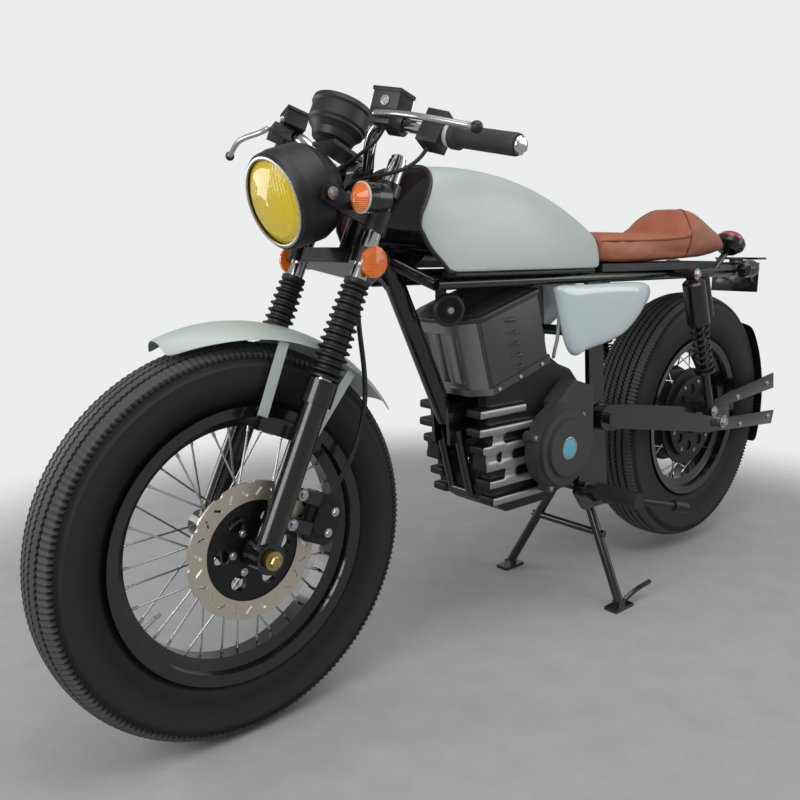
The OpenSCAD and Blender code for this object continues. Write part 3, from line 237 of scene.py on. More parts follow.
def two_finishes(tree, shader, share, wear, wear_depth, first, second):
    """Sets a shader by a share between two finishes of (colour, metallic, roughness), with wear in its roughness."""
    tone = node(tree, "ShaderNodeMix", {0: share, 6: linear(first[0]), 7: linear(second[0])}, data_type="RGBA")
    metal = node(tree, "ShaderNodeMapRange", {"Value": share, "To Min": first[1], "To Max": second[1]})
    rough = node(tree, "ShaderNodeMapRange", {"Value": share, "To Min": first[2], "To Max": second[2]})
    worn = node(tree, "ShaderNodeMath", {0: wear, 1: wear_depth, 2: rough.outputs["Result"]},
                operation="MULTIPLY_ADD")
    tree.links.new(tone.outputs[2], shader.inputs["Base Color"])
    tree.links.new(metal.outputs["Result"], shader.inputs["Metallic"])
    tree.links.new(worn.outputs["Value"], shader.inputs["Roughness"])


def by_radius(name, axle, radius_mm, inner, outer):
    """inner and outer are the finishes on either side of a circle round an axle."""
    material, tree, shader, texture = blank(name)
    flat = node(tree, "ShaderNodeMapping", {"Vector": texture["Object"], "Scale": (1, 0, 1),
                                            "Location": (-axle.x, 0, -axle.z)})
    reach = node(tree, "ShaderNodeVectorMath", {0: flat.outputs["Vector"]}, operation="LENGTH")
    far = node(tree, "ShaderNodeMath", {0: reach.outputs["Value"], 1: radius_mm / 1000}, operation="GREATER_THAN")
    rings = node(tree, "ShaderNodeTexNoise", {"W": reach.outputs["Value"], "Scale": RINGS_PER_METRE, "Detail": 2.0},
                 noise_dimensions="1D")
    two_finishes(tree, shader, far.outputs["Value"], rings.outputs["Fac"], 0.16, inner, outer)
    return material


# Black hub and bright drawn-wire spokes
front_wire = by_radius("black_hub_and_steel_wire", FRONT_AXLE, 53, ("#141415", 0.3, 0.28), ("#c4c6c8", 1.0, 0.16))
rear_wire = by_radius("black_motor_and_steel_wire", REAR_AXLE, 135, ("#1c1d1f", 0.4, 0.32), ("#c4c6c8", 1.0, 0.16))
# Ground steel ring, a little straw-coloured from heat, on a black spider
front_rotor = by_radius("ground_steel_disc", FRONT_AXLE, 85.5, ("#121213", 0.3, 0.26), ("#c6bfb0", 0.8, 0.30))
rear_rotor = by_radius("ground_steel_rear_disc", REAR_AXLE, 46, ("#121213", 0.3, 0.26), ("#b0a692", 1.0, 0.26))
print("wheel finishes:", front_wire.name, rear_wire.name, front_rotor.name, rear_rotor.name)

# %% [markdown]
# The motor's case and the battery's box also show two finishes each. The fins were faced by a cutter after the dark
# coat went on, so their outer faces are bare aluminium. The box has matt side plates, and its fluted front is bare
# metallic sheet. Both are told apart by the direction in which a face looks, read in the object's own axes.

# %% Finishes that change with the direction of a face
PEBBLES_PER_METRE = 420.0


def by_side(name, from_mm, edge, side):
    """side is the finish of faces that look left or right beyond a width, and edge is that of all others."""
    material, tree, shader, texture = blank(name)
    looks = node(tree, "ShaderNodeSeparateXYZ", {0: texture["Normal"]})
    lies = node(tree, "ShaderNodeSeparateXYZ", {0: texture["Object"]})
    flat = node(tree, "ShaderNodeMath", {0: looks.outputs["Y"]}, operation="ABSOLUTE")
    wide = node(tree, "ShaderNodeMath", {0: lies.outputs["Y"]}, operation="ABSOLUTE")
    facing = node(tree, "ShaderNodeMath", {0: flat.outputs["Value"], 1: 0.5}, operation="GREATER_THAN")
    outer = node(tree, "ShaderNodeMath", {0: wide.outputs["Value"], 1: from_mm / 1000}, operation="GREATER_THAN")
    share = node(tree, "ShaderNodeMath", {0: facing.outputs["Value"], 1: outer.outputs["Value"]},
                 operation="MULTIPLY")
    grain = node(tree, "ShaderNodeTexNoise", {"Vector": texture["Object"], "Scale": PEBBLES_PER_METRE, "Detail": 4.0})
    bump = node(tree, "ShaderNodeBump", {"Height": grain.outputs["Fac"], "Distance": 0.00004})
    two_finishes(tree, shader, share.outputs["Value"], grain.outputs["Fac"], 0.2, edge, side)
    tree.links.new(bump.outputs["Normal"], shader.inputs["Normal"])
    return material


# Dark coated casting whose fins have bare faces: pale stripes between dark grooves
cast_fins = by_side("casting_with_faced_fins", 84, ("#1d1d1f", 0.35, 0.34), ("#a2a2a6", 0.9, 0.28))
# Metallic grey sheet on the fluted front, warm matt enamel on the side plates
box_sheet = by_side("metallic_box_with_matt_sides", 90, ("#8d8c8b", 0.9, 0.28), ("#403e3a", 0.1, 0.42))
print("two-sided finishes:", cast_fins.name, box_sheet.name)

# %% [markdown]
# Rubber and moulded plastic. Tyre rubber is a warm black with a dusty bloom, rougher than the moulded rubber of
# the fork bellows. ABS and glass-filled nylon are satin black with a moulded texture.

# %% Rubbers and plastics
tyre_rubber = surface("tyre_rubber", ("#1a1a1a", "#232222"), (0.55, 0.72), 2.5, 0.06, {"IOR": 1.45})
# The ribs are painted grey as a painted highlight and the grooves nearly black as painted shade; each tyre marks both
# in point attributes
rubber_tree = tyre_rubber.node_tree
rubber_colour = rubber_tree.nodes["Principled BSDF"].inputs["Base Color"]
in_groove = node(rubber_tree, "ShaderNodeAttribute", attribute_name="groove")
on_rib = node(rubber_tree, "ShaderNodeAttribute", attribute_name="rib")
rib_highlight = node(rubber_tree, "ShaderNodeMix", {0: on_rib.outputs["Fac"], 6: rubber_colour.links[0].from_socket,
                                              7: linear("#444544")}, data_type="RGBA")
groove_shade = node(rubber_tree, "ShaderNodeMix", {0: in_groove.outputs["Fac"], 6: rib_highlight.outputs[2],
                                             7: linear("#020202")}, data_type="RGBA")
rubber_tree.links.new(groove_shade.outputs[2], rubber_colour)
moulded_rubber = surface("moulded_rubber", ("#121212", "#1a1a1a"), (0.42, 0.56), 2.5, 0.03, {"IOR": 1.52})
grip_rubber = surface("grip_rubber", ("#26282a", "#303234"), (0.55, 0.70), 1.2, 0.10, {"IOR": 1.52})
black_abs = surface("textured_black_plastic", ("#141415", "#1e1e1f"), (0.36, 0.52), 1.0, 0.04, {"IOR": 1.53})
pale_hose = surface("pale_vinyl_hose", ("#b9bab6", "#cfd0cc"), (0.30, 0.42), 8, 0.0, {"IOR": 1.53})
red_wire_skin = surface("red_wire_insulation", ("#8c1414", "#b02020"), (0.35, 0.45), 3, 0.0, {"IOR": 1.53})
print("rubbers:", tyre_rubber.name, moulded_rubber.name, grip_rubber.name, black_abs.name)


# %% [markdown]
# The lamps. A moulded lens is coloured through, glossy, and its inside carries flutes or small prisms that catch
# the light in stripes. Clear glass over an empty bowl would render slowly and noisily, so the lens is a glossy
# coloured body with its flutes in its relief, and the light that they catch is painted into its colour as paler and
# darker stripes. A faint painted glow stands for light that the bowl behind throws back.

# %% Lens materials
def fluted_lens(name, tones, pitch_mm, across, painted_glow):
    """A lens with flutes in relief, painted highlight stripes and a painted glow; across is the direction over which
    they repeat.
    """
    material = surface(name, tones, (0.06, 0.12), 30, 0.0, {"IOR": 1.49, **COAT})
    tree = material.node_tree
    shader = tree.nodes["Principled BSDF"]
    place = node(tree, "ShaderNodeTexCoord").outputs["Object"]
    along = node(tree, "ShaderNodeVectorMath", {0: place, 1: across}, operation="DOT_PRODUCT")
    turns = node(tree, "ShaderNodeMath", {0: along.outputs["Value"], 1: 2000 * math.pi / pitch_mm},
                 operation="MULTIPLY")
    flute = node(tree, "ShaderNodeMath", {0: turns.outputs["Value"]}, operation="SINE")
    # Painted highlight: the light that the flutes catch is painted into the colour as paler and darker stripes
    tone = node(tree, "ShaderNodeMapRange", {"Value": flute.outputs["Value"], "From Min": -1.0, "To Min": 0.4,
                                             "To Max": 0.65})
    painted_flute_colour = node(tree, "ShaderNodeMix", {0: tone.outputs["Result"], 6: linear(tones[0]), 7: linear(tones[1])},
                  data_type="RGBA")
    bump = node(tree, "ShaderNodeBump", {"Height": flute.outputs["Value"], "Distance": 0.0004})
    tree.links.new(painted_flute_colour.outputs[2], shader.inputs["Base Color"])
    tree.links.new(bump.outputs["Normal"], shader.inputs["Normal"])
    # Painted glow for light that the bowl behind throws back
    tree.links.new(painted_flute_colour.outputs[2], shader.inputs["Emission Color"])
    shader.inputs["Emission Strength"].default_value = painted_glow
    return material


# Yellow headlight glass with upright flutes; the small painted glow stands for light that the bowl behind throws back
headlight_glass = fluted_lens("yellow_fluted_glass", ("#c4a400", "#e4cc00"), 7.0, LEFT, 0.08)
# The amber and red lenses have flutes that lie level, and each has a small painted glow too
amber_glass = fluted_lens("amber_moulded_lens", ("#c85200", "#e87600"), 3.0, UP, 0.16)
red_glass = fluted_lens("red_moulded_lens", ("#7e0a12", "#b8141e"), 5.0, UP, 0.05)
print("lenses:", headlight_glass.name, amber_glass.name, red_glass.name)

# %% [markdown]
# The seat's leather. Tanned hide has a pebbled grain of about a millimetre and a half, with creases between the
# pebbles; the creases are painted darker than the tops as painted shade. The photograph shows the hump redder, the
# lower band tanner and the tail dustier, so the height and the length choose between three tones.

# %% Leather
# The pebbles are drawn coarser than real ones, so that they show at the picture's size
PEBBLE_MM = 2.4
leather, tree, shader, texture = blank("tanned_leather")
place = texture["Object"]
pebble = node(tree, "ShaderNodeTexVoronoi", {"Vector": place, "Scale": 1000 / PEBBLE_MM}, feature="DISTANCE_TO_EDGE")
cloud = node(tree, "ShaderNodeTexNoise", {"Vector": place, "Scale": 22.0, "Detail": 4.0})
axes = node(tree, "ShaderNodeSeparateXYZ", {0: place})
high = node(tree, "ShaderNodeMapRange", {"Value": axes.outputs["Z"], "From Min": 0.852, "From Max": 0.864})
tail = node(tree, "ShaderNodeMapRange", {"Value": axes.outputs["X"], "From Min": -0.545, "From Max": -0.56})
hide = node(tree, "ShaderNodeMix", {0: high.outputs["Result"], 6: linear("#a9603f"), 7: linear("#96472e")},
            data_type="RGBA")
rear = node(tree, "ShaderNodeMix", {0: tail.outputs["Result"], 6: hide.outputs[2], 7: linear("#9a6450")},
            data_type="RGBA")
worn = node(tree, "ShaderNodeMix", {0: cloud.outputs["Fac"], 6: rear.outputs[2], 7: linear("#b06c4c")},
            data_type="RGBA")
# Painted shade: the creases between the pebbles are darkened in the colour
crease = node(tree, "ShaderNodeMapRange", {"Value": pebble.outputs["Distance"], "From Max": 0.12, "To Min": 0.62})
crease_shade = node(tree, "ShaderNodeMix", {0: 1.0, 6: worn.outputs[2], 7: crease.outputs["Result"]}, data_type="RGBA",
            blend_type="MULTIPLY")
bump = node(tree, "ShaderNodeBump", {"Height": crease.outputs["Result"], "Distance": 0.0004, "Strength": 0.7})
rough = node(tree, "ShaderNodeMapRange", {"Value": cloud.outputs["Fac"], "From Min": 0.3, "From Max": 0.7,
                                          "To Min": 0.36, "To Max": 0.50})
tree.links.new(crease_shade.outputs[2], shader.inputs["Base Color"])
tree.links.new(rough.outputs["Result"], shader.inputs["Roughness"])
tree.links.new(bump.outputs["Normal"], shader.inputs["Normal"])
piping_leather = surface("piping_leather", ("#5e2a1c", "#74382a"), (0.38, 0.5), 2.0, 0.04, {"IOR": 1.5})
print("leather:", leather.name, piping_leather.name)

# %% [markdown]
# Most solids already have the right shape, so they only take a finish. A table pairs each finish with its nodes.

# %% Finish the solids that stay
dressed = {
    black_lacquer: ["main_frame", "fork_lowers", "swingarm", "center_stand", "shock_bodies", "lower_yoke",
                    "upper_yoke", "hugger_brackets", "tail_holder", "plate_bracket", "indicator_bodies",
                    "rear_indicators", "front_rim", "rear_rim"],
    satin_black: ["headlight_bucket", "headlight_brackets", "headlight_rim", "shock_springs", "side_stand"],
    body_lacquer: ["tank", "front_fender", "fender_stays"],
    cover_gloss: ["side_covers"],
    chrome: ["fork_tubes", "handlebar"],
    bright_steel: ["rear_axle", "levers"],
    yellow_zinc: ["front_axle"],
    dark_casting: ["case_cover_left", "case_cover_right"],
    charcoal_sheet: ["battery_lid"],
    box_sheet: ["battery_box"],
    cast_fins: ["motor_case"],
    black_alloy: ["front_caliper", "rear_caliper"],
    front_wire: ["front_hub"],
    rear_wire: ["hub_motor"],
    front_rotor: ["front_disc"],
    rear_rotor: ["rear_disc"],
    tyre_rubber: ["front_tyre", "rear_tyre"],
    moulded_rubber: ["fork_gaiters", "footpegs", "tank_trim", "brake_hose", "control_cables"],
    grip_rubber: ["grips"],
    black_abs: ["brake_masters", "switch_pods", "speedometer", "horn", "hugger", "seat_pan"],
    pale_hose: ["breather_tube"],
    headlight_glass: ["headlight_lens"],
    amber_glass: ["amber_lenses"],
    red_glass: ["tail_lamp"],
    leather: ["seat"],
}
for material, names in dressed.items():
    for name in names:
        nodes[name].data.materials.clear()
        nodes[name].data.materials.append(material)
print("finished", sum(len(names) for names in dressed.values()), "of", len(nodes), "solids")


# %% [markdown]
# New pieces share a few small helpers. One closes a bmesh into an object that rides on a body. One turns a profile
# round an axis, as on a lathe. One draws a round cord through a few points as a curve and keeps its mesh. Solids
# that need a softer form are copied, and their loose triangles are merged first.

# %% Modelling helpers
def mesh_from(bm, name):
    """Turns a finished bmesh into a mesh."""
    mesh = bpy.data.meshes.new(name)
    bm.to_mesh(mesh)
    bm.free()
    return mesh


def settle(bm, name, material, body, stands_for=(), sharp=35):
    """Merges a bmesh, marks its sharp edges and makes it a piece that rides on a body."""
    bmesh.ops.remove_doubles(bm, verts=bm.verts, dist=1e-5)
    bmesh.ops.recalc_face_normals(bm, faces=bm.faces)
    for face in bm.faces:
        face.smooth = True
    for edge in bm.edges:
        edge.smooth = edge.calc_face_angle(0.0) < math.radians(sharp)
    mesh = mesh_from(bm, name)
    mesh.materials.append(material)
    piece = placed(name, mesh)
    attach(piece, body)
    if stands_for:
        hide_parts(*stands_for)
    print(name, "on", body, len(mesh.polygons), "faces")
    return piece


def turned(bm, base, axis, profile, steps=32):
    """Turns a profile of (radius, height) pairs in millimetres round an axis that starts at base."""
    lathe = Matrix.Translation(base) @ axis.to_track_quat("Z", "Y").to_matrix().to_4x4()
    rim = [bm.verts.new(lathe @ Vector((r / 1000, 0, h / 1000))) for r, h in profile]
    line = [bm.edges.new(pair) for pair in zip(rim, rim[1:])]
    bmesh.ops.spin(bm, geom=rim + line, cent=base, axis=axis.normalized(), angle=math.tau, steps=steps,
                   use_merge=True)


def lathed(name, material, body, turnings, steps):
    """A piece of one or more turned profiles: each is (base, axis, profile)."""
    bm = bmesh.new()
    for base, axis, profile in turnings:
        turned(bm, base, axis, profile, steps)
    settle(bm, name, material, body)


def bolt(bm, base, axis, radius, height, sides=6):
    """A bolt head with a chamfered crown; six sides for a hexagon, more for a round head."""
    turned(bm, base, axis, [(0, 0), (radius, 0), (radius, height * 0.7), (radius * 0.8, height), (0, height)], sides)


def round_curve(name, radius_mm, roundness):
    """An empty curve with a round section."""
    curve = bpy.data.curves.new(name, "CURVE")
    curve.dimensions = "3D"
    curve.bevel_depth = radius_mm / 1000
    curve.bevel_resolution = roundness
    curve.use_fill_caps = True
    return curve


def drawn(bm, points, radius_mm, fine=6):
    """Adds a round cord through the points."""
    curve = round_curve("route", radius_mm, 2)
    curve.resolution_u = fine
    spline = curve.splines.new("BEZIER")
    spline.bezier_points.add(len(points) - 1)
    for handle, point in zip(spline.bezier_points, points):
        handle.co = point
        handle.handle_left_type = handle.handle_right_type = "AUTO"
    route = bpy.data.objects.new("route", curve)
    mesh = bpy.data.meshes.new_from_object(route)
    bm.from_mesh(mesh)
    bpy.data.objects.remove(route)
    bpy.data.meshes.remove(mesh)


def merged_copy(source):
    """A bmesh copy of a solid, with its loose triangles merged."""
    bm = bmesh.new()
    bm.from_mesh(nodes[source].data)
    bmesh.ops.remove_doubles(bm, verts=bm.verts, dist=2e-5)
    return bm


def subdivided(piece, levels):
    """Rounds a piece with a subdivision surface that is as fine in the view as in the render."""
    finer = piece.modifiers.new("finer", "SUBSURF")
    finer.levels = finer.render_levels = levels


# %% [markdown]
# Hoses and cables hang between the handlebar, the headlight and the front brake. Each is a fixed length of something
# stiff, so it bends in one easy sweep and never sharply. A chain of cylinders would show its joints. A curve with a
# round bevel stays smooth, and its four guide points are the same as in the solid that it stands for.

# %% Hoses and cables
def sweep(guide, steps=24):
    """Points of a cubic route that sets out towards the second guide point and comes in from the third."""
    a, b, c, d = guide
    shares = [k / steps for k in range(steps + 1)]
    return [a * (1 - t) ** 3 + b * 3 * t * (1 - t) ** 2 + c * 3 * t * t * (1 - t) + d * t**3 for t in shares]


def hang(name, points, radius_mm, material, body, stands_for=()):
    """A cord on one open curve that rides on a body and stands for the given solids."""
    curve = round_curve(name, radius_mm, 3)
    spline = curve.splines.new("POLY")
    spline.points.add(len(points) - 1)
    for place, point in zip(spline.points, points):
        place.co = (*point, 1)
    curve.materials.append(material)
    piece = placed(name, curve)
    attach(piece, body)
    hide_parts(*stands_for)


BRAKE_HOSE_R, CABLE_R, BREATHER_R, WIRE_R = 4.5, 3.2, 4.0, 1.4
BRAKE_HOSE = ((-30, 60, 503.8), (-30, 72, 380), (-164, 92, 330), (-114, 70, 123))
SWITCH_CABLE = ((40.3, 212.3, 689.4), (46, 196, 620), (74, 106, 650), (49.8, 46.8, 618.8))
LEVER_CABLE_END = ((82, 137, 668), (81, 80, 668), (70, 45, 643))
hang("brake_hose_line", sweep([fork_spot(*p) for p in BRAKE_HOSE]), BRAKE_HOSE_R, moulded_rubber, "steering",
     ("brake_hose",))
for side, tag, perch in ((1, "left", (83.3, 143.1, 706.1)), (-1, "right", (86.6, 144.5, 709.8))):
    for what, guide in (("switch", SWITCH_CABLE), ("lever", (perch, *LEVER_CABLE_END))):
        hang(what + "_cable_" + tag, sweep([fork_spot(a, side * y, s) for a, y, s in guide]), CABLE_R, moulded_rubber,
             "steering", ("control_cables",))


# %% [markdown]
# The breather is a pale vinyl hose that drops from the rail behind the battery box and curves in under it. A thin
# red wire runs from under the tank to the horn. Both follow a few points on a curve that passes through each.

# %% Breather hose and horn wire
def through(points, steps):
    """A smooth line through the points."""
    ends = [points[0]] + points + [points[-1]]
    line = []
    for a, b, c, d in zip(ends, ends[1:], ends[2:], ends[3:]):
        for t in (k / steps for k in range(steps)):
            straight = 2 * b + (c - a) * t
            line.append(0.5 * (straight + (2 * a - 5 * b + 4 * c - d) * t**2 + (3 * b - a - 3 * c + d) * t**3))
    return line + [points[-1]]


BREATHER_HOSE = ((660, 86, 752), (662, 88, 700), (662, 88, 660), (660, 84, 634), (656, 76, 614), (650, 68, 594))
HORN_WIRE = ((1002, 62, 778), (1010, 68, 750), (986, 48, 742), (974, 56, 716))
hang("breather_hose", through([spot(*p) for p in BREATHER_HOSE], 5), BREATHER_R, pale_hose, "frame",
     ("breather_tube",))
hang("horn_wire", sweep([spot(*p) for p in HORN_WIRE]), WIRE_R, red_wire_skin, "frame")


# %% [markdown]
# Some solids were swept or lofted in flat facets: the tank and its edge, the fender, the hugger, the side covers,
# the handlebar and levers, and the shock springs. A copy of each is merged, its triangles are joined to quads and a
# subdivision surface rounds it, so the outline stays where the solid is. The centre stand's tubes are fine enough,
# and their copy is only shaded smooth.

# %% Rounded copies of faceted solids
def refined(source, name, material, body, levels, sharp):
    """A merged and subdivided copy of a faceted solid, which then stands for it."""
    bm = merged_copy(source)
    bmesh.ops.join_triangles(bm, faces=bm.faces, angle_face_threshold=math.radians(40),
                             angle_shape_threshold=math.radians(40))
    piece = settle(bm, name, material, body, (source,), sharp)
    if levels:
        subdivided(piece, levels)


refined("tank", "tank_skin", body_lacquer, "frame", 2, 75)
refined("front_fender", "fender_skin", body_lacquer, "steering", 2, 75)
refined("hugger", "hugger_skin", black_abs, "frame", 2, 75)
refined("handlebar", "bar_skin", chrome, "steering", 1, 60)
refined("levers", "lever_skins", bright_steel, "steering", 1, 60)
refined("shock_springs", "spring_skins", satin_black, "frame", 1, 70)
refined("tank_trim", "edge_skin", moulded_rubber, "frame", 1, 70)
refined("side_covers", "cover_skins", cover_gloss, "frame", 2, 75)
refined("center_stand", "stand_skin", black_lacquer, "center_stand", 0, 40)


# %% [markdown]
# Cast, bent and moulded pieces have no razor edges: a small round catches the light and says how the piece was made.
# The solids keep sharp edges, so a merged copy of each gets its flat triangles dissolved and a bevel of one to five
# millimetres on every corner.

# %% Copies with rounded edges
def eased(source, material, body, width_mm):
    """A copy of a sharp solid with its edges rounded, which then stands for it."""
    bm = merged_copy(source)
    bmesh.ops.dissolve_limit(bm, angle_limit=math.radians(1), verts=bm.verts, edges=bm.edges)
    piece = settle(bm, source + "_eased", material, body, (source,), 180)
    round_edge = piece.modifiers.new("round_edge", "BEVEL")
    round_edge.width = width_mm / 1000
    round_edge.segments = 3
    round_edge.limit_method = "ANGLE"
    round_edge.angle_limit = math.radians(35)
    round_edge.harden_normals = True


eased("brake_masters", black_abs, "steering", 2.0)
eased("switch_pods", black_abs, "steering", 5.0)
eased("front_caliper", black_alloy, "steering", 2.0)
eased("rear_caliper", black_alloy, "frame", 2.0)
eased("hugger_brackets", black_lacquer, "frame", 1.0)
eased("plate_bracket", black_lacquer, "frame", 0.8)

# %% [markdown]
# The motor's case was cast in sand, so its fins are round all over, more than a bevel can make them where so many
# edges meet. A remesh into small cells and a smoothing take the sharpness off everything at once.

# %% Cast motor case
CASTING_CELL = 0.0029
bm = bmesh.new()
bm.from_mesh(nodes["motor_case"].data)
casting = settle(bm, "motor_casting", cast_fins, "frame", ("motor_case",), 180)
cells = casting.modifiers.new("cells", "REMESH")
cells.mode = "VOXEL"
cells.voxel_size = CASTING_CELL
cells.use_smooth_shade = True
worn_edges = casting.modifiers.new("worn_edges", "SMOOTH")
worn_edges.factor = 0.5
worn_edges.iterations = 7


# %% [markdown]
# Both tyres have the old saw-tooth tread: ribs that run round the tyre between zigzag grooves. A displacement map
# would need millions of faces, so one tooth is modelled instead. The section of the tyre is drawn once, extruded
# by half a tooth while the tread shifts sideways, extruded back, and then that tooth is spun round the axle.

# %% Saw-tooth tyres
TYRE_R = 340
CROWN_DROP = 15
TOOTH_SHIFT = 2.3
TOOTH_COUNT = 196
GROOVE_WIDTH, GROOVE_DEPTH = 5.4, 7.0


def sawtooth_tyre(source, name, body, axle, half, rim_r, grooves):
    """A tyre with zigzag grooves, in millimetres: half is half its width, rim_r the radius of its rim."""
    tread = half - 8

    def crown(y):
        return TYRE_R - CROWN_DROP * abs(y / tread) ** 2.6

    wall = [(rim_r - 12, half * 0.6), (rim_r + 2, half * 0.6 + 4), (rim_r + 9, half - 13), (rim_r + 11, half - 11),
            (rim_r + 24, half - 6), (286, half), (300, half), (302, half + 0.6), (305, half + 0.6), (307, half - 0.6),
            (312, half - 2), (316, half - 4)]
    ribs = [(crown(tread) - GROOVE_DEPTH, tread + 2), (crown(tread), tread)]
    pitch = 2 * tread / (grooves + 1)
    for k in range(grooves):
        middle = tread - pitch * (k + 1)
        for side, down in ((0.5, 0), (0.32, 1), (-0.32, 1), (-0.5, 0)):
            y = middle + side * GROOVE_WIDTH
            ribs.append((crown(y) - down * GROOVE_DEPTH, y))
    ribs += [(crown(tread), -tread), (crown(tread) - GROOVE_DEPTH, -tread - 2)]
    lining = [(rim_r - 12, -half * 0.6 + 7), (rim_r + 30, -half + 14), (TYRE_R - 24, -half * 0.4),
              (TYRE_R - 24, half * 0.4), (rim_r + 30, half - 14), (rim_r - 12, half * 0.6 - 7)]
    section = wall + ribs + [(r, -y) for r, y in reversed(wall)] + lining
    bm = bmesh.new()
    ring = [bm.verts.new((r / 1000, y / 1000, 0)) for r, y in section]
    edges = [bm.edges.new(pair) for pair in zip(ring, ring[1:] + ring[:1])]
    on_tread = (crown(tread) - GROOVE_DEPTH - 0.5) / 1000
    for shift in (TOOTH_SHIFT, -TOOTH_SHIFT):
        grown = bmesh.ops.extrude_edge_only(bm, edges=edges)["geom"]
        edges = [g for g in grown if isinstance(g, bmesh.types.BMEdge)]
        moved = [g for g in grown if isinstance(g, bmesh.types.BMVert)]
        bmesh.ops.rotate(bm, verts=moved, cent=(0, 0, 0), matrix=Matrix.Rotation(math.pi / TOOTH_COUNT, 3, "Y"))
        teeth = [v for v in moved if math.hypot(v.co.x, v.co.z) > on_tread]
        bmesh.ops.translate(bm, verts=teeth, vec=(0, 2 * shift / 1000, 0))
    tooth = bm.verts[:] + bm.edges[:] + bm.faces[:]
    bmesh.ops.spin(bm, geom=tooth, cent=(0, 0, 0), axis=(0, 1, 0), angle=math.tau * (1 - 1 / TOOTH_COUNT),
                   steps=TOOTH_COUNT - 1, use_duplicate=True)
    bmesh.ops.translate(bm, verts=bm.verts, vec=axle - Vector((0, TOOTH_SHIFT / 1000, 0)))
    piece = settle(bm, name, tyre_rubber, body, (source,), 30)
    # The groove attribute carries the painted shade in the grooves, and the rib attribute the painted highlight on
    # the ribs
    piece.data.attributes.new("groove", "FLOAT", "POINT")
    piece.data.attributes.new("rib", "FLOAT", "POINT")
    groove, rib = piece.data.attributes["groove"], piece.data.attributes["rib"]
    for vert in piece.data.vertices:
        out = (vert.co - axle) * 1000
        if abs(out.y) < tread + 5:
            sunk = crown(out.y) - math.hypot(out.x, out.z)
            groove.data[vert.index].value = min(1.0, max(0.0, (sunk - 2) / 3))
            rib.data[vert.index].value = 1.0 if sunk < 3 else 0.0


sawtooth_tyre("front_tyre", "front_tyre_tread", "front_wheel", FRONT_AXLE, 56, 238, 5)
sawtooth_tyre("rear_tyre", "rear_tyre_tread", "rear_wheel", REAR_AXLE, 66, 216, 6)

# %% [markdown]
# The seat is foam under stretched leather: crowned, with a hump that the rider leans on, and flat only where it
# rests on its pan. Subdividing the solid would keep it stiff. Cloth under pressure pulls the leather as stuffing
# does, so a copy that starts a little smaller is remeshed, blown up with its underside held, and capped.

# %% Stuffed seat
SEAT_SHRINK = 0.004
SEAT_CELL = 0.006
bm = merged_copy("seat")
bmesh.ops.recalc_face_normals(bm, faces=bm.faces)
bm.normal_update()
for vert in bm.verts:
    if vert.normal.z > -0.7:
        vert.co -= vert.normal * SEAT_SHRINK
stuffing = placed("seat_start", mesh_from(bm, "seat_start"))
voxels = stuffing.modifiers.new("voxels", "REMESH")
voxels.mode = "VOXEL"
voxels.voxel_size = SEAT_CELL
pad_mesh = bpy.data.meshes.new_from_object(stuffing.evaluated_get(bpy.context.evaluated_depsgraph_get()))
bpy.data.objects.remove(stuffing)
pad = placed("seat_pad", pad_mesh)
print("seat starts with", len(pad_mesh.vertices), "points")


# %% [markdown]
# The rider sits low, on a flat place that ends at the piping's height, and the hump stands up behind it as a round
# dome. The solid rises earlier and squarer. So the top of the pad is pressed down onto a table of heights along the
# seat, each falling off to the sides like an arch. A press can only lower points, so the pad stays in the solid.

# %% Press the sitting place and the dome of the hump
# Millimetres ahead of the rear axle, height of the top there and half of its width
SEAT_TOP = [(-165, 842, 16), (-130, 852, 36), (-70, 872, 58), (0, 894, 76), (70, 916, 92), (106, 924, 99),
            (128, 918, 103), (150, 903, 106), (172, 880, 108), (192, 862, 109), (215, 857, 110), (530, 857, 110)]
ARCH_FOOT = 850
LOWEST_PRESS = 852.0


def arch_height(x, y):
    """The height of the pressed seat in millimetres over a place on it."""
    for (x0, top0, half0), (x1, top1, half1) in zip(SEAT_TOP, SEAT_TOP[1:]):
        if x0 <= x <= x1:
            share = (x - x0) / (x1 - x0)
            top, half = top0 + (top1 - top0) * share, half0 + (half1 - half0) * share
            return ARCH_FOOT + (top - ARCH_FOOT) * math.sqrt(max(0.0, 1 - abs(y / half) ** 2.2))
    return math.inf


pressed = 0
for vert in pad_mesh.vertices:
    limit = max(LOWEST_PRESS, arch_height((vert.co.x + REAR_AXLE_X) * 1000, vert.co.y * 1000)) / 1000
    if vert.co.z > limit:
        vert.co.z = limit
        pressed += 1
print("pressed points:", pressed)

# %% Hold the underside
SEAT_HELD_Z = 0.795 + 0.012
held = [v.index for v in pad_mesh.vertices if v.co.z < SEAT_HELD_Z]
pad.vertex_groups.new(name="underside").add(held, 1.0, "REPLACE")
print("held points:", len(held))

# %% Blow the seat up and cap the movement
SEAT_CAP = 0.009
SEAT_FRAMES = 20
before = [v.co.copy() for v in pad.data.vertices]
cloth = pad.modifiers.new("leather", "CLOTH")
cloth.settings.quality = 6
cloth.settings.vertex_group_mass = "underside"
cloth.settings.use_pressure = True
cloth.settings.uniform_pressure_force = 4.0
cloth.settings.effector_weights.gravity = 0.0
cloth.point_cache.frame_start = 1
cloth.point_cache.frame_end = SEAT_FRAMES
for moment in range(1, SEAT_FRAMES + 1):
    bpy.context.scene.frame_set(moment)
blown = bpy.data.meshes.new_from_object(pad.evaluated_get(bpy.context.evaluated_depsgraph_get()))
bpy.context.scene.frame_set(1)
pad.modifiers.clear()
moves = [after.co - place for after, place in zip(blown.vertices, before)]
for vert, place, move in zip(pad.data.vertices, before, moves):
    vert.co = place + move * min(1.0, SEAT_CAP / max(move.length, 1e-9))
print("the leather moved by up to", round(1000 * max(m.length for m in moves), 1), "mm before the cap")
bm = bmesh.new()
bm.from_mesh(pad.data)
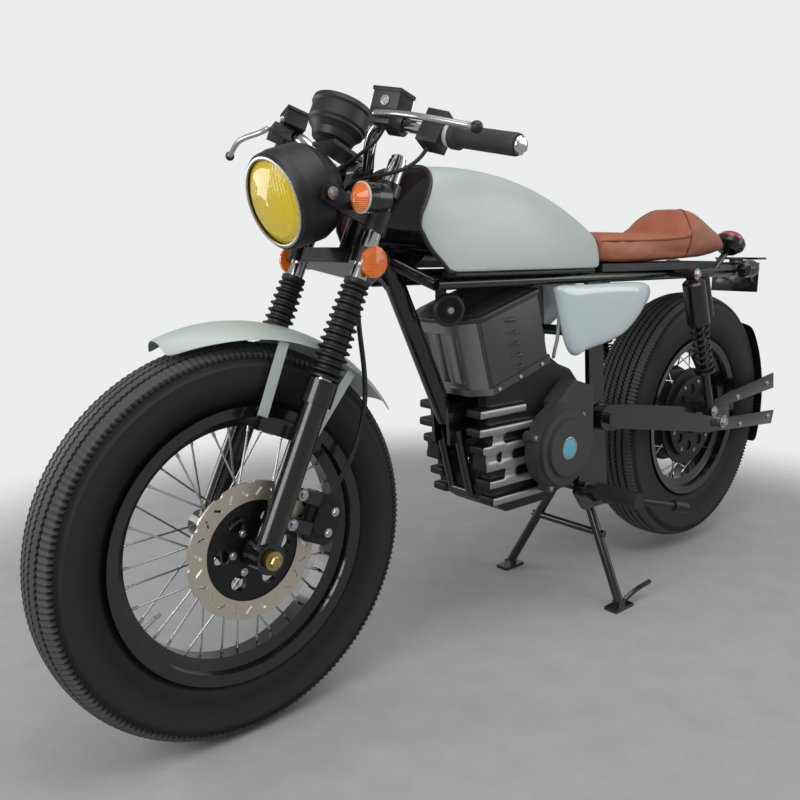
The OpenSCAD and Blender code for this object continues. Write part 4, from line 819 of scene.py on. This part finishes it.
for _ in range(4):
    bmesh.ops.smooth_vert(bm, verts=[v for v in bm.verts if v.co.z > SEAT_HELD_Z], factor=0.5, use_axis_x=True,
                          use_axis_y=True, use_axis_z=True)
bpy.data.objects.remove(pad)
seat_skin = settle(bm, "seat_cushion", leather, "frame", ("seat",), 80)
subdivided(seat_skin, 1)


# %% [markdown]
# Two piped seams show on the seat: one along each flank, between the side band and the top, and one over the hump,
# where the tail panel begins. A ray from outside finds the leather under each, and a thin cord is laid half sunk.

# %% Piped seams
def skin_of(piece):
    """The surface of a mesh, for rays."""
    mesh = piece.data
    return BVHTree.FromPolygons([v.co.copy() for v in mesh.vertices], [tuple(f.vertices) for f in mesh.polygons])


PIPING_R = 2.0
FLANK_SEAM = [(514, 844), (500, 845), (450, 846), (400, 846), (350, 847), (300, 848), (250, 850), (205, 853),
              (158, 857)]
hide = skin_of(seat_skin)
bm = bmesh.new()
for side in (1, -1):
    line = [hide.ray_cast(spot(x, 300 * side, z), -LEFT * side)[0] for x, z in FLANK_SEAM]
    drawn(bm, [place for place in line if place], PIPING_R)
hoop = []
for step in range(25):
    turn = math.radians(-32 + 244 * step / 24)
    way = Vector((0, math.cos(turn), math.sin(turn)))
    middle = spot(152 - 56 * max(0.0, way.z) ** 3, 0, 850)
    hoop.append(hide.ray_cast(middle + way * 0.3, -way)[0])
drawn(bm, [place for place in hoop if place], PIPING_R)
settle(bm, "seat_piping", piping_leather, "frame")


# %% [markdown]
# The tank is a thin painted shell over the frame. Its mouth at the steering head is edged with a rubber strip, and
# a reddish felt lines the inside. The strip could be cut from the shell's own edge. Here the edge is worked out
# again from the shell's section, so that the strip and the felt follow it exactly.

# %% Tank mouth
MOUTH_FRONT, TANK_WAIST, TANK_FLOOR, TANK_ROOF, TANK_HALF = 1096, 960, 786, 982, 132
# Share of the edge's height, and millimetres by which the edge lies behind its foremost point there
MOUTH = ((0, 66), (0.25, 18), (0.45, 0), (0.55, 4), (0.68, 22), (0.83, 42), (1, 60))


def mouth_spot(angle, inset, back):
    """A point of the tank's front edge, drawn in and moved back by millimetres."""
    height = abs(math.sin(angle)) ** 0.85
    low, high = next(pair for pair in zip(MOUTH, MOUTH[1:]) if height <= pair[1][0] + 1e-9)
    x = MOUTH_FRONT - low[1] - (high[1] - low[1]) * (height - low[0]) / (high[0] - low[0]) - back
    ahead_of_waist = x > TANK_WAIST
    reach = (x - TANK_WAIST) / 150 if ahead_of_waist else (TANK_WAIST - x) / 440
    roof = TANK_ROOF - (20 if ahead_of_waist else 114) * reach**2 - inset
    half = TANK_HALF - (10 if ahead_of_waist else 46) * reach**2 - inset
    y = math.copysign(half * abs(math.cos(angle)) ** 0.45, math.cos(angle))
    return spot(x, y, TANK_FLOOR + (roof - TANK_FLOOR) * height)


turns = [math.pi * k / 40 for k in range(41)]
bm = bmesh.new()
drawn(bm, [mouth_spot(turn, 1.5, 3.0) for turn in turns], 4.2, fine=3)
settle(bm, "mouth_trim", moulded_rubber, "frame")
bm = bmesh.new()
hoops = []
for back in (6, 40, 80, 130):
    hoop = [bm.verts.new(mouth_spot(turn, 5.0, back)) for turn in turns]
    hoops.append([bm.edges.new(pair) for pair in zip(hoop, hoop[1:])])
for near, far in zip(hoops, hoops[1:]):
    bmesh.ops.bridge_loops(bm, edges=near + far)
felt = surface("reddish_felt", ("#5a2f28", "#6b3a32"), (0.8, 0.95), 1.5, 0.2, {"Sheen Weight": 0.4})
lining = settle(bm, "mouth_lining", felt, "frame")
thick = lining.modifiers.new("thick", "SOLIDIFY")
thick.thickness = 0.0012
thick.offset = 0.0


# %% [markdown]
# Fasteners hold everything together, and they are what the eye looks for on a machine. Each head is placed by a ray
# that comes from outside and stops on the solid, so none floats. Hexagons are a lathe profile turned in six steps.

# %% Bolts and nuts
RAY_START = 0.6
COVER_X, COVER_Z, COVER_BOLT_R = 676, 408, 92


def landed(solid, place, inward):
    """Where a ray that passes through a place, going inward, first meets a solid."""
    return skin_of(nodes[solid]).ray_cast(place - inward * RAY_START, inward)[0]


def fastened(name, material, body, heads, sides=6):
    """Heads on washers: each is (solid, place, way in, radius, height)."""
    bm = bmesh.new()
    for solid, place, inward, radius, height in heads:
        base = landed(solid, place, inward)
        if base is None:
            print("no", solid, "under", [round(1000 * x) for x in place])
            continue
        washer = [(0, 0), (radius * 1.5, 0), (radius * 1.5, 2), (radius, 2), (0, 2)]
        turned(bm, base + inward * 0.0008, -inward, washer, 20)
        bolt(bm, base, -inward, radius, height, sides)
    settle(bm, name, material, body, (), 25)


heads = []
for side, cover in ((-LEFT, "case_cover_left"), (LEFT, "case_cover_right")):
    heads += [("main_frame", spot(508, 0, 448), side, 11, 9), ("shock_bodies", spot(229, 0, 768), side, 9, 7),
              ("shock_bodies", spot(100, 0, 416), side, 9, 7), ("main_frame", spot(872, 0, 395), side, 8, 6),
              ("main_frame", spot(555, 0, 288), side, 7, 6)]
    heads += [("hugger_brackets", spot(x, 0, z), side, 5.5, 4)
              for x, z in ((-152, 414), (-325, 435), (-177, 332), (-350, 332))]
    heads += [(cover, spot(COVER_X + COVER_BOLT_R * math.cos(a), 0, COVER_Z + COVER_BOLT_R * math.sin(a)), side, 5, 4)
              for a in map(math.radians, (20, 140, 215, 290))]
    heads += [("rear_axle", REAR_AXLE, side, 12, 9)]
fastened("frame_bolts", bright_steel, "frame", heads)

# %% Steering and wheel fasteners
FORK_UP = fork_way(0, 0, 1)
DISC_BOLT_R, MOTOR_SCREW_R = 0.038, 0.098


def wheel_way(angle):
    """The direction from an axle to a point of its wheel."""
    return Vector((math.cos(angle), 0, math.sin(angle)))


heads = [("front_caliper", fork_spot(-120, 0, 60), -LEFT, 5.5, 4),
         ("front_caliper", fork_spot(-120, 0, 98), -LEFT, 5.5, 4),
         ("fork_lowers", fork_spot(-37, 0, 59), -LEFT, 6.5, 5),
         ("fork_lowers", fork_spot(-38, 0, 111), -LEFT, 6.5, 5),
         ("lower_yoke", fork_spot(-40, 0, 660), -FORK_UP, 13, 7)]
for side in (1, -1):
    heads += [("headlight_brackets", fork_spot(106, 0, 585), -LEFT * side, 7, 5),
              ("fork_tubes", fork_spot(0, 95 * side, 700), -FORK_UP, 8, 5)]
    heads += [("upper_yoke", fork_spot(18 + ahead_mm, 20 * side, 700), -FORK_UP, 4, 4) for ahead_mm in (-8, 8)]
fastened("steering_bolts", bright_steel, "steering", heads)
fastened("front_axle_nuts", yellow_zinc, "steering",
         [("front_axle", FRONT_AXLE, -LEFT, 10.5, 9), ("front_axle", FRONT_AXLE, LEFT, 10.5, 9)])
ring = [math.tau * k / 6 for k in range(6)]
fastened("front_disc_bolts", bright_steel, "front_wheel",
         [("front_disc", FRONT_AXLE + wheel_way(a) * DISC_BOLT_R, -LEFT, 4.5, 3.5) for a in ring], 16)
ring = [math.tau * (k + 0.5) / 9 for k in range(9)]
fastened("motor_cover_screws", bright_steel, "rear_wheel",
         [("hub_motor", REAR_AXLE + wheel_way(a) * MOTOR_SCREW_R, way, 3.5, 3) for a in ring
          for way in (-LEFT, LEFT)], 16)


# %% [markdown]
# A wire wheel is held true by a brass nipple at the rim end of each spoke, and its tyre is filled through a valve.
# One nipple is a lathe profile of five points, repeated for every spoke along that spoke's own direction.

# %% Nipples and valves
SPOKES = 36
VALVE_ANGLE = -0.58
NIPPLE_PROFILE = [(0, 0), (2.4, 0), (2.8, 2), (2.8, 11), (0, 12)]
VALVE_PROFILE = [(0, 0), (5, 0), (4, 8), (3.2, 26), (4.2, 27), (4.2, 36), (0, 37)]


def nippled(name, body, axle, flange_r, flange_half, reach, twist):
    """Nipples at the rim, reach millimetres from an axle, each in line with its spoke from the hub's flange."""
    bm = bmesh.new()
    for i in range(SPOKES):
        side = 1 if i % 2 == 0 else -1
        angle = math.tau * i / SPOKES
        root = angle + math.radians(twist if i % 4 < 2 else -twist)
        outer = Vector((reach * math.cos(angle), 4 * side, reach * math.sin(angle))) / 1000
        inner = Vector((flange_r * math.cos(root), flange_half * side, flange_r * math.sin(root))) / 1000
        way = (outer - inner).normalized()
        turned(bm, axle + outer - way * 0.012, way, NIPPLE_PROFILE, 8)
    way = wheel_way(VALVE_ANGLE)
    turned(bm, axle + way * (reach + 2) / 1000, -way, VALVE_PROFILE, 16)
    settle(bm, name, bright_steel, body, (), 40)


nippled("front_nipples", "front_wheel", FRONT_AXLE, 36, 34, 200, 52)
nippled("rear_nipples", "rear_wheel", REAR_AXLE, 129, 30, 178, 14)


# %% [markdown]
# The controls. Each brake reservoir has a round sight glass and two lid screws, each lever ends in a black ball, and
# a pale collar stands between the switch pod and the grip. The perch is turned about the bar, so its parts are
# placed along its own axes: ahead of the bar, out along it and up.

# %% Controls
PERCH_AXES = (Vector((0.9437, 0.3309, 0)), Vector((-0.3305, 0.9427, -0.0462)), Vector((-0.0153, 0.0436, 0.9989)))
PERCH_TURN = {1: math.radians(14), -1: math.radians(2)}


def perch_way(side, x, y, z):
    """A direction or step in millimetres along a perch's own axes, as parts ahead, left and up the fork."""
    turn = PERCH_TURN[side]
    ahead_part, up_part = x * math.cos(turn) + z * math.sin(turn), z * math.cos(turn) - x * math.sin(turn)
    step = PERCH_AXES[0] * ahead_part + PERCH_AXES[1] * y + PERCH_AXES[2] * up_part
    return Vector((step.x, side * step.y, step.z))


def perch_spot(side, x, y, z):
    """A place in the shared frame from a perch's own axes."""
    return fork_spot(*(Vector((64, 150 * side, 724)) + perch_way(side, x, y, z)))


SIGHT_PROFILE = [(0, 2.2), (5.5, 2.2), (6.5, 3), (8, 3), (8.5, 0), (0, 0)]
SCREW_PROFILE = [(0, 0), (3.4, 0), (3.4, 1.4), (2.6, 2), (0, 2)]
COLLAR_PROFILE = [(12, -12), (18, -12), (19, -10), (19, -4), (18, -1), (12, -1), (12, -12)]
BALL_R = 0.0093
sights, screws, collars, balls = [], [], [], bmesh.new()
for side in (1, -1):
    front = fork_way(*perch_way(side, 1, 0, 0))
    top = fork_way(*perch_way(side, 0, 0, 1))
    along = fork_way(-0.1788, 0.9753 * side, -0.13)
    sights.append((perch_spot(side, 33.5, -10, 26), front, SIGHT_PROFILE))
    screws += [(perch_spot(side, x, y, 46.5), top, SCREW_PROFILE) for x, y in ((2, -30), (24, 8))]
    collars.append((fork_spot(26, 248 * side, 714), along, COLLAR_PROFILE))
    tip = Matrix.Translation(perch_spot(side, 81.8, 186, -8))
    bmesh.ops.create_uvsphere(balls, u_segments=20, v_segments=12, radius=BALL_R, matrix=tip)
lathed("sight_glasses", bright_steel, "steering", sights, 24)
lathed("lid_screws", bright_steel, "steering", screws, 12)
settle(balls, "lever_balls", black_abs, "steering", (), 80)
lathed("grip_collars", pale_hose, "steering", collars, 28)

# %% [markdown]
# The speedometer's dial looks up at the rider. A black disc carries a ring of pale strokes and a needle, all thin
# boxes that are turned into place. Numbers are left off, since none can be read in the photograph.

# %% Dial
FORK_AHEAD = fork_way(1, 0, 0)
STROKES = 41
dial = fork_spot(78, 0, 762.6)
upright = Matrix.Translation(dial) @ Matrix((FORK_AHEAD, LEFT, FORK_UP)).transposed().to_4x4()
lathed("dial_face", black_abs, "steering",
       [(dial, FORK_UP, [(0, 0), (43, 0), (43, 1), (0, 1)])], 48)
bm = bmesh.new()
for k in range(STROKES):
    turn = Matrix.Rotation(math.radians(-130 + 6.5 * k), 4, "Z")
    length = 0.008 if k % 5 == 0 else 0.004
    box = Matrix.Translation((0.040 - length / 2, 0, 0.0014)) @ Matrix.Diagonal((length, 0.0012, 0.0008, 1))
    bmesh.ops.create_cube(bm, size=1, matrix=upright @ turn @ box)
needle = Matrix.Rotation(math.radians(-128), 4, "Z") @ Matrix.Translation((0.014, 0, 0.003))
bmesh.ops.create_cone(bm, cap_ends=True, segments=8, radius1=0.0016, radius2=0.0004, depth=0.036,
                      matrix=upright @ needle @ Matrix.Rotation(math.radians(90), 4, "Y"))
turned(bm, dial, FORK_UP, [(0, 4.4), (4, 4), (4, 1), (0, 1)], 20)
settle(bm, "dial_marks", pale_hose, "steering")

# %% [markdown]
# Small trim. A thin steel ring holds the headlight's glass, and a pale ring seats each front indicator's lens. The
# horn has a pressed steel centre in rings. A plain disc fills the round recess of each motor cover, and an oval plate
# under the axle nut sets the wheel's alignment.

# %% Rings, horn centre and cover discs
RING_PROFILE = [(71.2, -1), (71.2, 0.8), (73, 1.4), (76, 0.6), (76, -1), (71.2, -1)]
SEAT_RING_PROFILE = [(23.4, -1.5), (25, -1), (25, 1.6), (23.4, 2.2), (23.4, -1.5)]
DISC_PROFILE = [(0, 2.8), (18, 2.6), (20.5, 2), (21, 0), (0, 0)]
DISC_RIM_PROFILE = [(21, 0), (21, 2.4), (24, 2.6), (25, 1.8), (25, 0), (21, 0)]
beam = Vector((0.953, 0, -0.302))
bowl = fork_spot(*HEADLIGHT_AT)
rim_front = max((v.co - bowl).dot(beam) for v in nodes["headlight_rim"].data.vertices)
lathed("headlight_ring", bright_steel, "steering", [(bowl + beam * rim_front, beam, RING_PROFILE)], 72)
lathed("indicator_rings", pale_hose, "steering",
       [(fork_spot(86, 152 * side, 585), Vector((1, 0, 0)), SEAT_RING_PROFILE) for side in (1, -1)], 40)
horn_at, horn_way = spot(976, 70, 714), Vector((0.342, 0.940, 0))
lathed("horn_centre", bright_steel, "frame",
       [(horn_at + horn_way * 0.0132, horn_way, [(0, 3.4), (6, 3), (7.5, 0.5), (0, 0.5)])], 28)
lathed("horn_rings", black_alloy, "frame",
       [(horn_at + horn_way * 0.0126, horn_way, [(r, 0), (r + 1, 1.6), (r + 2, 1.6), (r + 3, 0), (r, 0)])
        for r in (11, 16, 21)], 40)
enamel_disc = surface("pale_blue_enamel", ("#4fa6c4", "#62b4ce"), (0.16, 0.24), 6, 0.0, {"IOR": 1.5, **COAT})
recesses = [(spot(COVER_X, face * side, COVER_Z), LEFT * side) for side, face in ((1, 140), (-1, 130))]
lathed("cover_discs", enamel_disc, "frame", [(*recess, DISC_PROFILE) for recess in recesses], 40)
lathed("cover_disc_rims", bright_steel, "frame", [(*recess, DISC_RIM_PROFILE) for recess in recesses], 40)

# %% Axle adjusters
bm = bmesh.new()
for side in (1, -1):
    face = landed("swingarm", spot(59, 0, 411), -LEFT * side)
    tilt = Matrix.Rotation(math.radians(8), 4, "Y")
    oval = Matrix.Translation(face + LEFT * side * 0.0016) @ tilt @ Matrix.Diagonal((1.7, 1, 1, 1))
    bmesh.ops.create_cone(bm, cap_ends=True, segments=40, radius1=0.012, radius2=0.011, depth=0.004,
                          matrix=oval @ Matrix.Rotation(math.radians(-90 * side), 4, "X"))
    bolt(bm, face + LEFT * side * 0.003, LEFT * side, 5, 4)
settle(bm, "adjuster_plates", bright_steel, "frame", (), 30)

# %% [markdown]
# A rubber strip lies on each rail and carries the tank, so no light falls through between the two. Each strip is a
# bar with four corners at either end, and it follows the rail, which runs in towards the seat.

# %% Tank rests
REST_SECTION = ((-8, 776), (8, 776), (8, 786.4), (-8, 786.4))
REST_ENDS = ((545, 82.5), (1005, 91.5))
bm = bmesh.new()
for side in (1, -1):
    ends = [[bm.verts.new(spot(x, side * (y + out), z)) for out, z in REST_SECTION] for x, y in REST_ENDS]
    for k in range(4):
        bm.faces.new((ends[0][k - 1], ends[0][k], ends[1][k], ends[1][k - 1]))
    bm.faces.new(ends[0])
    bm.faces.new(ends[1])
settle(bm, "tank_rests", moulded_rubber, "frame")

# %% [markdown]
# The battery box is bent sheet, so its upright front corners are round: the long edges of a copy are bevelled. A
# matt plate covers each side, with five eyelid louvres pressed out of it in a column. Each louvre is a sphere that
# is squashed to an eyelid and cut off at the plate. Bolts hold the box by the flange at its foot.

# %% Battery box
BOX_LEAN = math.radians(16.4)
BOX_UP = Vector((math.sin(BOX_LEAN), 0, math.cos(BOX_LEAN)))
BOX_AHEAD = Vector((math.cos(BOX_LEAN), 0, -math.sin(BOX_LEAN)))


def box_spot(x, y, z):
    """A place on the leaning battery box, in millimetres from the middle of its foot."""
    return spot(788, 0, 567) + (BOX_AHEAD * x + LEFT * y + BOX_UP * z) / 1000


bm = merged_copy("battery_box")
bmesh.ops.dissolve_limit(bm, angle_limit=math.radians(1), verts=bm.verts, edges=bm.edges)
corners = []
for edge in bm.edges:
    run = edge.verts[1].co - edge.verts[0].co
    ahead_by = (edge.verts[0].co - box_spot(0, 0, 0)).dot(BOX_AHEAD)
    if run.length > 0.12 and abs(run.normalized().dot(BOX_UP)) > 0.99 and ahead_by > 0.08:
        corners.append(edge)
print("round corners:", len(corners))
bmesh.ops.bevel(bm, geom=corners, offset=0.012, offset_type="OFFSET", segments=5, profile=0.5, affect="EDGES",
                clamp_overlap=True, material=-1)
settle(bm, "battery_shell", box_sheet, "frame", ("battery_box",), 30)

# %% Side plates, louvres and bolts
PLATE_OUTLINE = ((-84, 17), (88, 17), (88, 149), (-84, 149))
PLATE_Y, PLATE_GAUGE = 97.5, 0.0025
LOUVRE_Y, LOUVRE_START, LOUVRE_PITCH, LOUVRE_COUNT = 99.2, 27, 25, 5
LOUVRE_SIZE = (0.02, 0.0066, 0.0075, 1)
side_enamel = surface("matt_side_plate", ("#3a3835", "#454340"), (0.42, 0.55), 1.2, 0.02, {"IOR": 1.5})
plates, lids, heads = bmesh.new(), bmesh.new(), bmesh.new()
for side in (1, -1):
    sheet = plates.faces.new([plates.verts.new(box_spot(x, PLATE_Y * side, z)) for x, z in PLATE_OUTLINE])
    grown = bmesh.ops.extrude_face_region(plates, geom=[sheet])["geom"]
    outer = [g for g in grown if isinstance(g, bmesh.types.BMVert)]
    bmesh.ops.translate(plates, verts=outer, vec=LEFT * side * PLATE_GAUGE)
    for k in range(LOUVRE_COUNT):
        middle = box_spot(6, LOUVRE_Y * side, LOUVRE_START + LOUVRE_PITCH * k)
        eyelid = Matrix.Translation(middle) @ Matrix.Diagonal(LOUVRE_SIZE)
        eye = bmesh.ops.create_uvsphere(lids, u_segments=20, v_segments=12, radius=1.0, matrix=eyelid)["verts"]
        faces = list({f for v in eye for f in v.link_faces})
        edges = list({e for v in eye for e in v.link_edges})
        bmesh.ops.bisect_plane(lids, geom=eye + edges + faces, plane_co=spot(0, LOUVRE_Y * side, 0),
                               plane_no=-LEFT * side, clear_outer=True)
        low = [v for v in lids.verts if (v.co - middle).length < 0.022 and v.co.z < middle.z - 0.001]
        bmesh.ops.delete(lids, geom=low, context="VERTS")
    for x in (-62, 8, 74):
        bolt(heads, box_spot(x, 101.8 * side, 7), LEFT * side, 5, 4)
bmesh.ops.bevel(plates, geom=plates.edges[:], offset=0.0012, offset_type="OFFSET", segments=2, profile=0.5,
                affect="EDGES", clamp_overlap=True, material=-1)
settle(plates, "battery_side_plates", side_enamel, "frame")
hoods = settle(lids, "louvres", side_enamel, "frame", (), 60)
hood_gauge = hoods.modifiers.new("gauge", "SOLIDIFY")
hood_gauge.thickness = 0.0008
settle(heads, "battery_bolts", bright_steel, "frame")

# %% [markdown]
# The lid is a deep pressing: a lip round the box, then a smooth rise to a flat top. The solid steps up instead. A
# cage of rings follows the box's outline, drawn in further at each height, and subdivision makes it one smooth
# swell. Extra points beside each corner keep the corners tight. Rubber bumps stand on top.

# %% Battery lid
def lid_ring(inset, height):
    """The outline of the lid's solid, drawn in by an inset, with support points near its corners."""
    side, rear, corner, front = 98 - inset, inset - 95, 91 - max(inset, 0), 112 - inset
    outline = [(rear, 8 - side), (rear + 8, -side), (corner, -side), (front, -56), (front, 56), (corner, side),
               (rear + 8, side), (rear, side - 8)]
    ring = []
    for (x0, y0), (x1, y1) in zip(outline, outline[1:] + outline[:1]):
        near = min(0.33, 14 / math.hypot(x1 - x0, y1 - y0))
        ring += [(x0 + (x1 - x0) * share, y0 + (y1 - y0) * share) for share in (0, near, 1 - near)]
    return [box_spot(x, y, 152 + height) for x, y in ring]


# Inset from the box's outline and height over its rim, from the lip's underside to the flat top
LID_SECTION = ((4, 0.4), (-2, 0.4), (-3, 1.4), (-3, 8.6), (-2, 10), (5, 10.6), (7.5, 12), (10, 15.2), (17, 18),
               (24, 21), (30, 23.6), (37, 25.6), (39, 25.8))
bm = bmesh.new()
rings = [[bm.verts.new(place) for place in lid_ring(inset, height)] for inset, height in LID_SECTION]
for lower, upper in zip(rings, rings[1:]):
    for k in range(len(lower)):
        bm.faces.new((lower[k - 1], lower[k], upper[k], upper[k - 1]))
bm.faces.new(rings[-1])
bm.faces.new(rings[0][::-1])
lid = settle(bm, "battery_lid_pressing", charcoal_sheet, "frame", ("battery_lid",), 180)
subdivided(lid, 2)
lathed("lid_bumps", moulded_rubber, "frame",
       [(box_spot(x, y, 177.2), BOX_UP, [(0, 0), (6.5, 0), (6, 4), (4, 5.4), (0, 5.6)])
        for x in (34, -40) for y in (14, -14)], 20)

# %% [markdown]
# A plain pale floor catches the shadow and fades out at two metres, as a paper sweep does, so no hard horizon cuts
# the picture. Soft light comes from a large sheet above and smaller ones at the front, the back and the far side.
# The world is dimmer as a lamp than it looks: the Light Path node shows a near-white wall to the camera alone, so
# black lacquer stays black and takes its highlights from the sheets.

# %% Floor
FLOOR_R, FADE_FROM, FADE_TO = 2.4, 1.25, 2.1
floor_paint = surface("pale_concrete_floor", ("#9a9c9f", "#aeafb1"), (0.55, 0.75), 9, 0.4, {"IOR": 1.5})
tree = floor_paint.node_tree
place = node(tree, "ShaderNodeTexCoord").outputs["Object"]
away = node(tree, "ShaderNodeVectorMath", {0: place}, operation="LENGTH")
gone = node(tree, "ShaderNodeMapRange", {"Value": away.outputs["Value"], "From Min": FADE_FROM, "From Max": FADE_TO},
            interpolation_type="SMOOTHSTEP")
clear = node(tree, "ShaderNodeBsdfTransparent")
faded = node(tree, "ShaderNodeMixShader", {0: gone.outputs["Result"], 1: tree.nodes["Principled BSDF"].outputs[0],
                                           2: clear.outputs[0]})
tree.links.new(faded.outputs[0], tree.nodes["Material Output"].inputs["Surface"])
bm = bmesh.new()
bmesh.ops.create_circle(bm, cap_ends=True, segments=96, radius=FLOOR_R)
floor = placed("floor", mesh_from(bm, "floor"))
floor.data.materials.append(floor_paint)
print("the floor fades out at", FADE_TO, "m")

# %% Light and background
# Name, place and side of each sheet in metres, and its power in watts
SHEETS = (("ceiling_sheet", (0.3, 0.9, 2.9), 2.6, 40), ("front_sheet", (3.0, 0.7, 1.7), 1.5, 34),
          ("rear_sheet", (-1.9, 1.9, 1.6), 1.6, 16), ("window_sheet", (1.7, -1.9, 1.0), 1.0, 12))
AIM_AT = Vector((0, 0, 0.5))
world = bpy.data.worlds.new("studio")
bpy.context.scene.world = world
world.use_nodes = True
sky = world.node_tree
sky.nodes.clear()
ray = node(sky, "ShaderNodeLightPath")
lamp = node(sky, "ShaderNodeBackground", {"Color": linear("#f3f2ef"), "Strength": 0.42})
wall = node(sky, "ShaderNodeBackground", {"Color": linear("#eceded"), "Strength": 1.0})
either = node(sky, "ShaderNodeMixShader", {0: ray.outputs["Is Camera Ray"], 1: lamp.outputs[0], 2: wall.outputs[0]})
node(sky, "ShaderNodeOutputWorld", {"Surface": either.outputs[0]})

for name, place, size, power in SHEETS:
    sheet = bpy.data.lights.new(name, "AREA")
    sheet.size = size
    sheet.energy = power
    lamp_object = placed(name, sheet)
    lamp_object.location = place
    lamp_object.rotation_euler = (AIM_AT - Vector(place)).to_track_quat("-Z", "Y").to_euler()
bpy.context.scene.view_settings.view_transform = "Standard"
print("lit by", len(bpy.data.lights), "sheets")
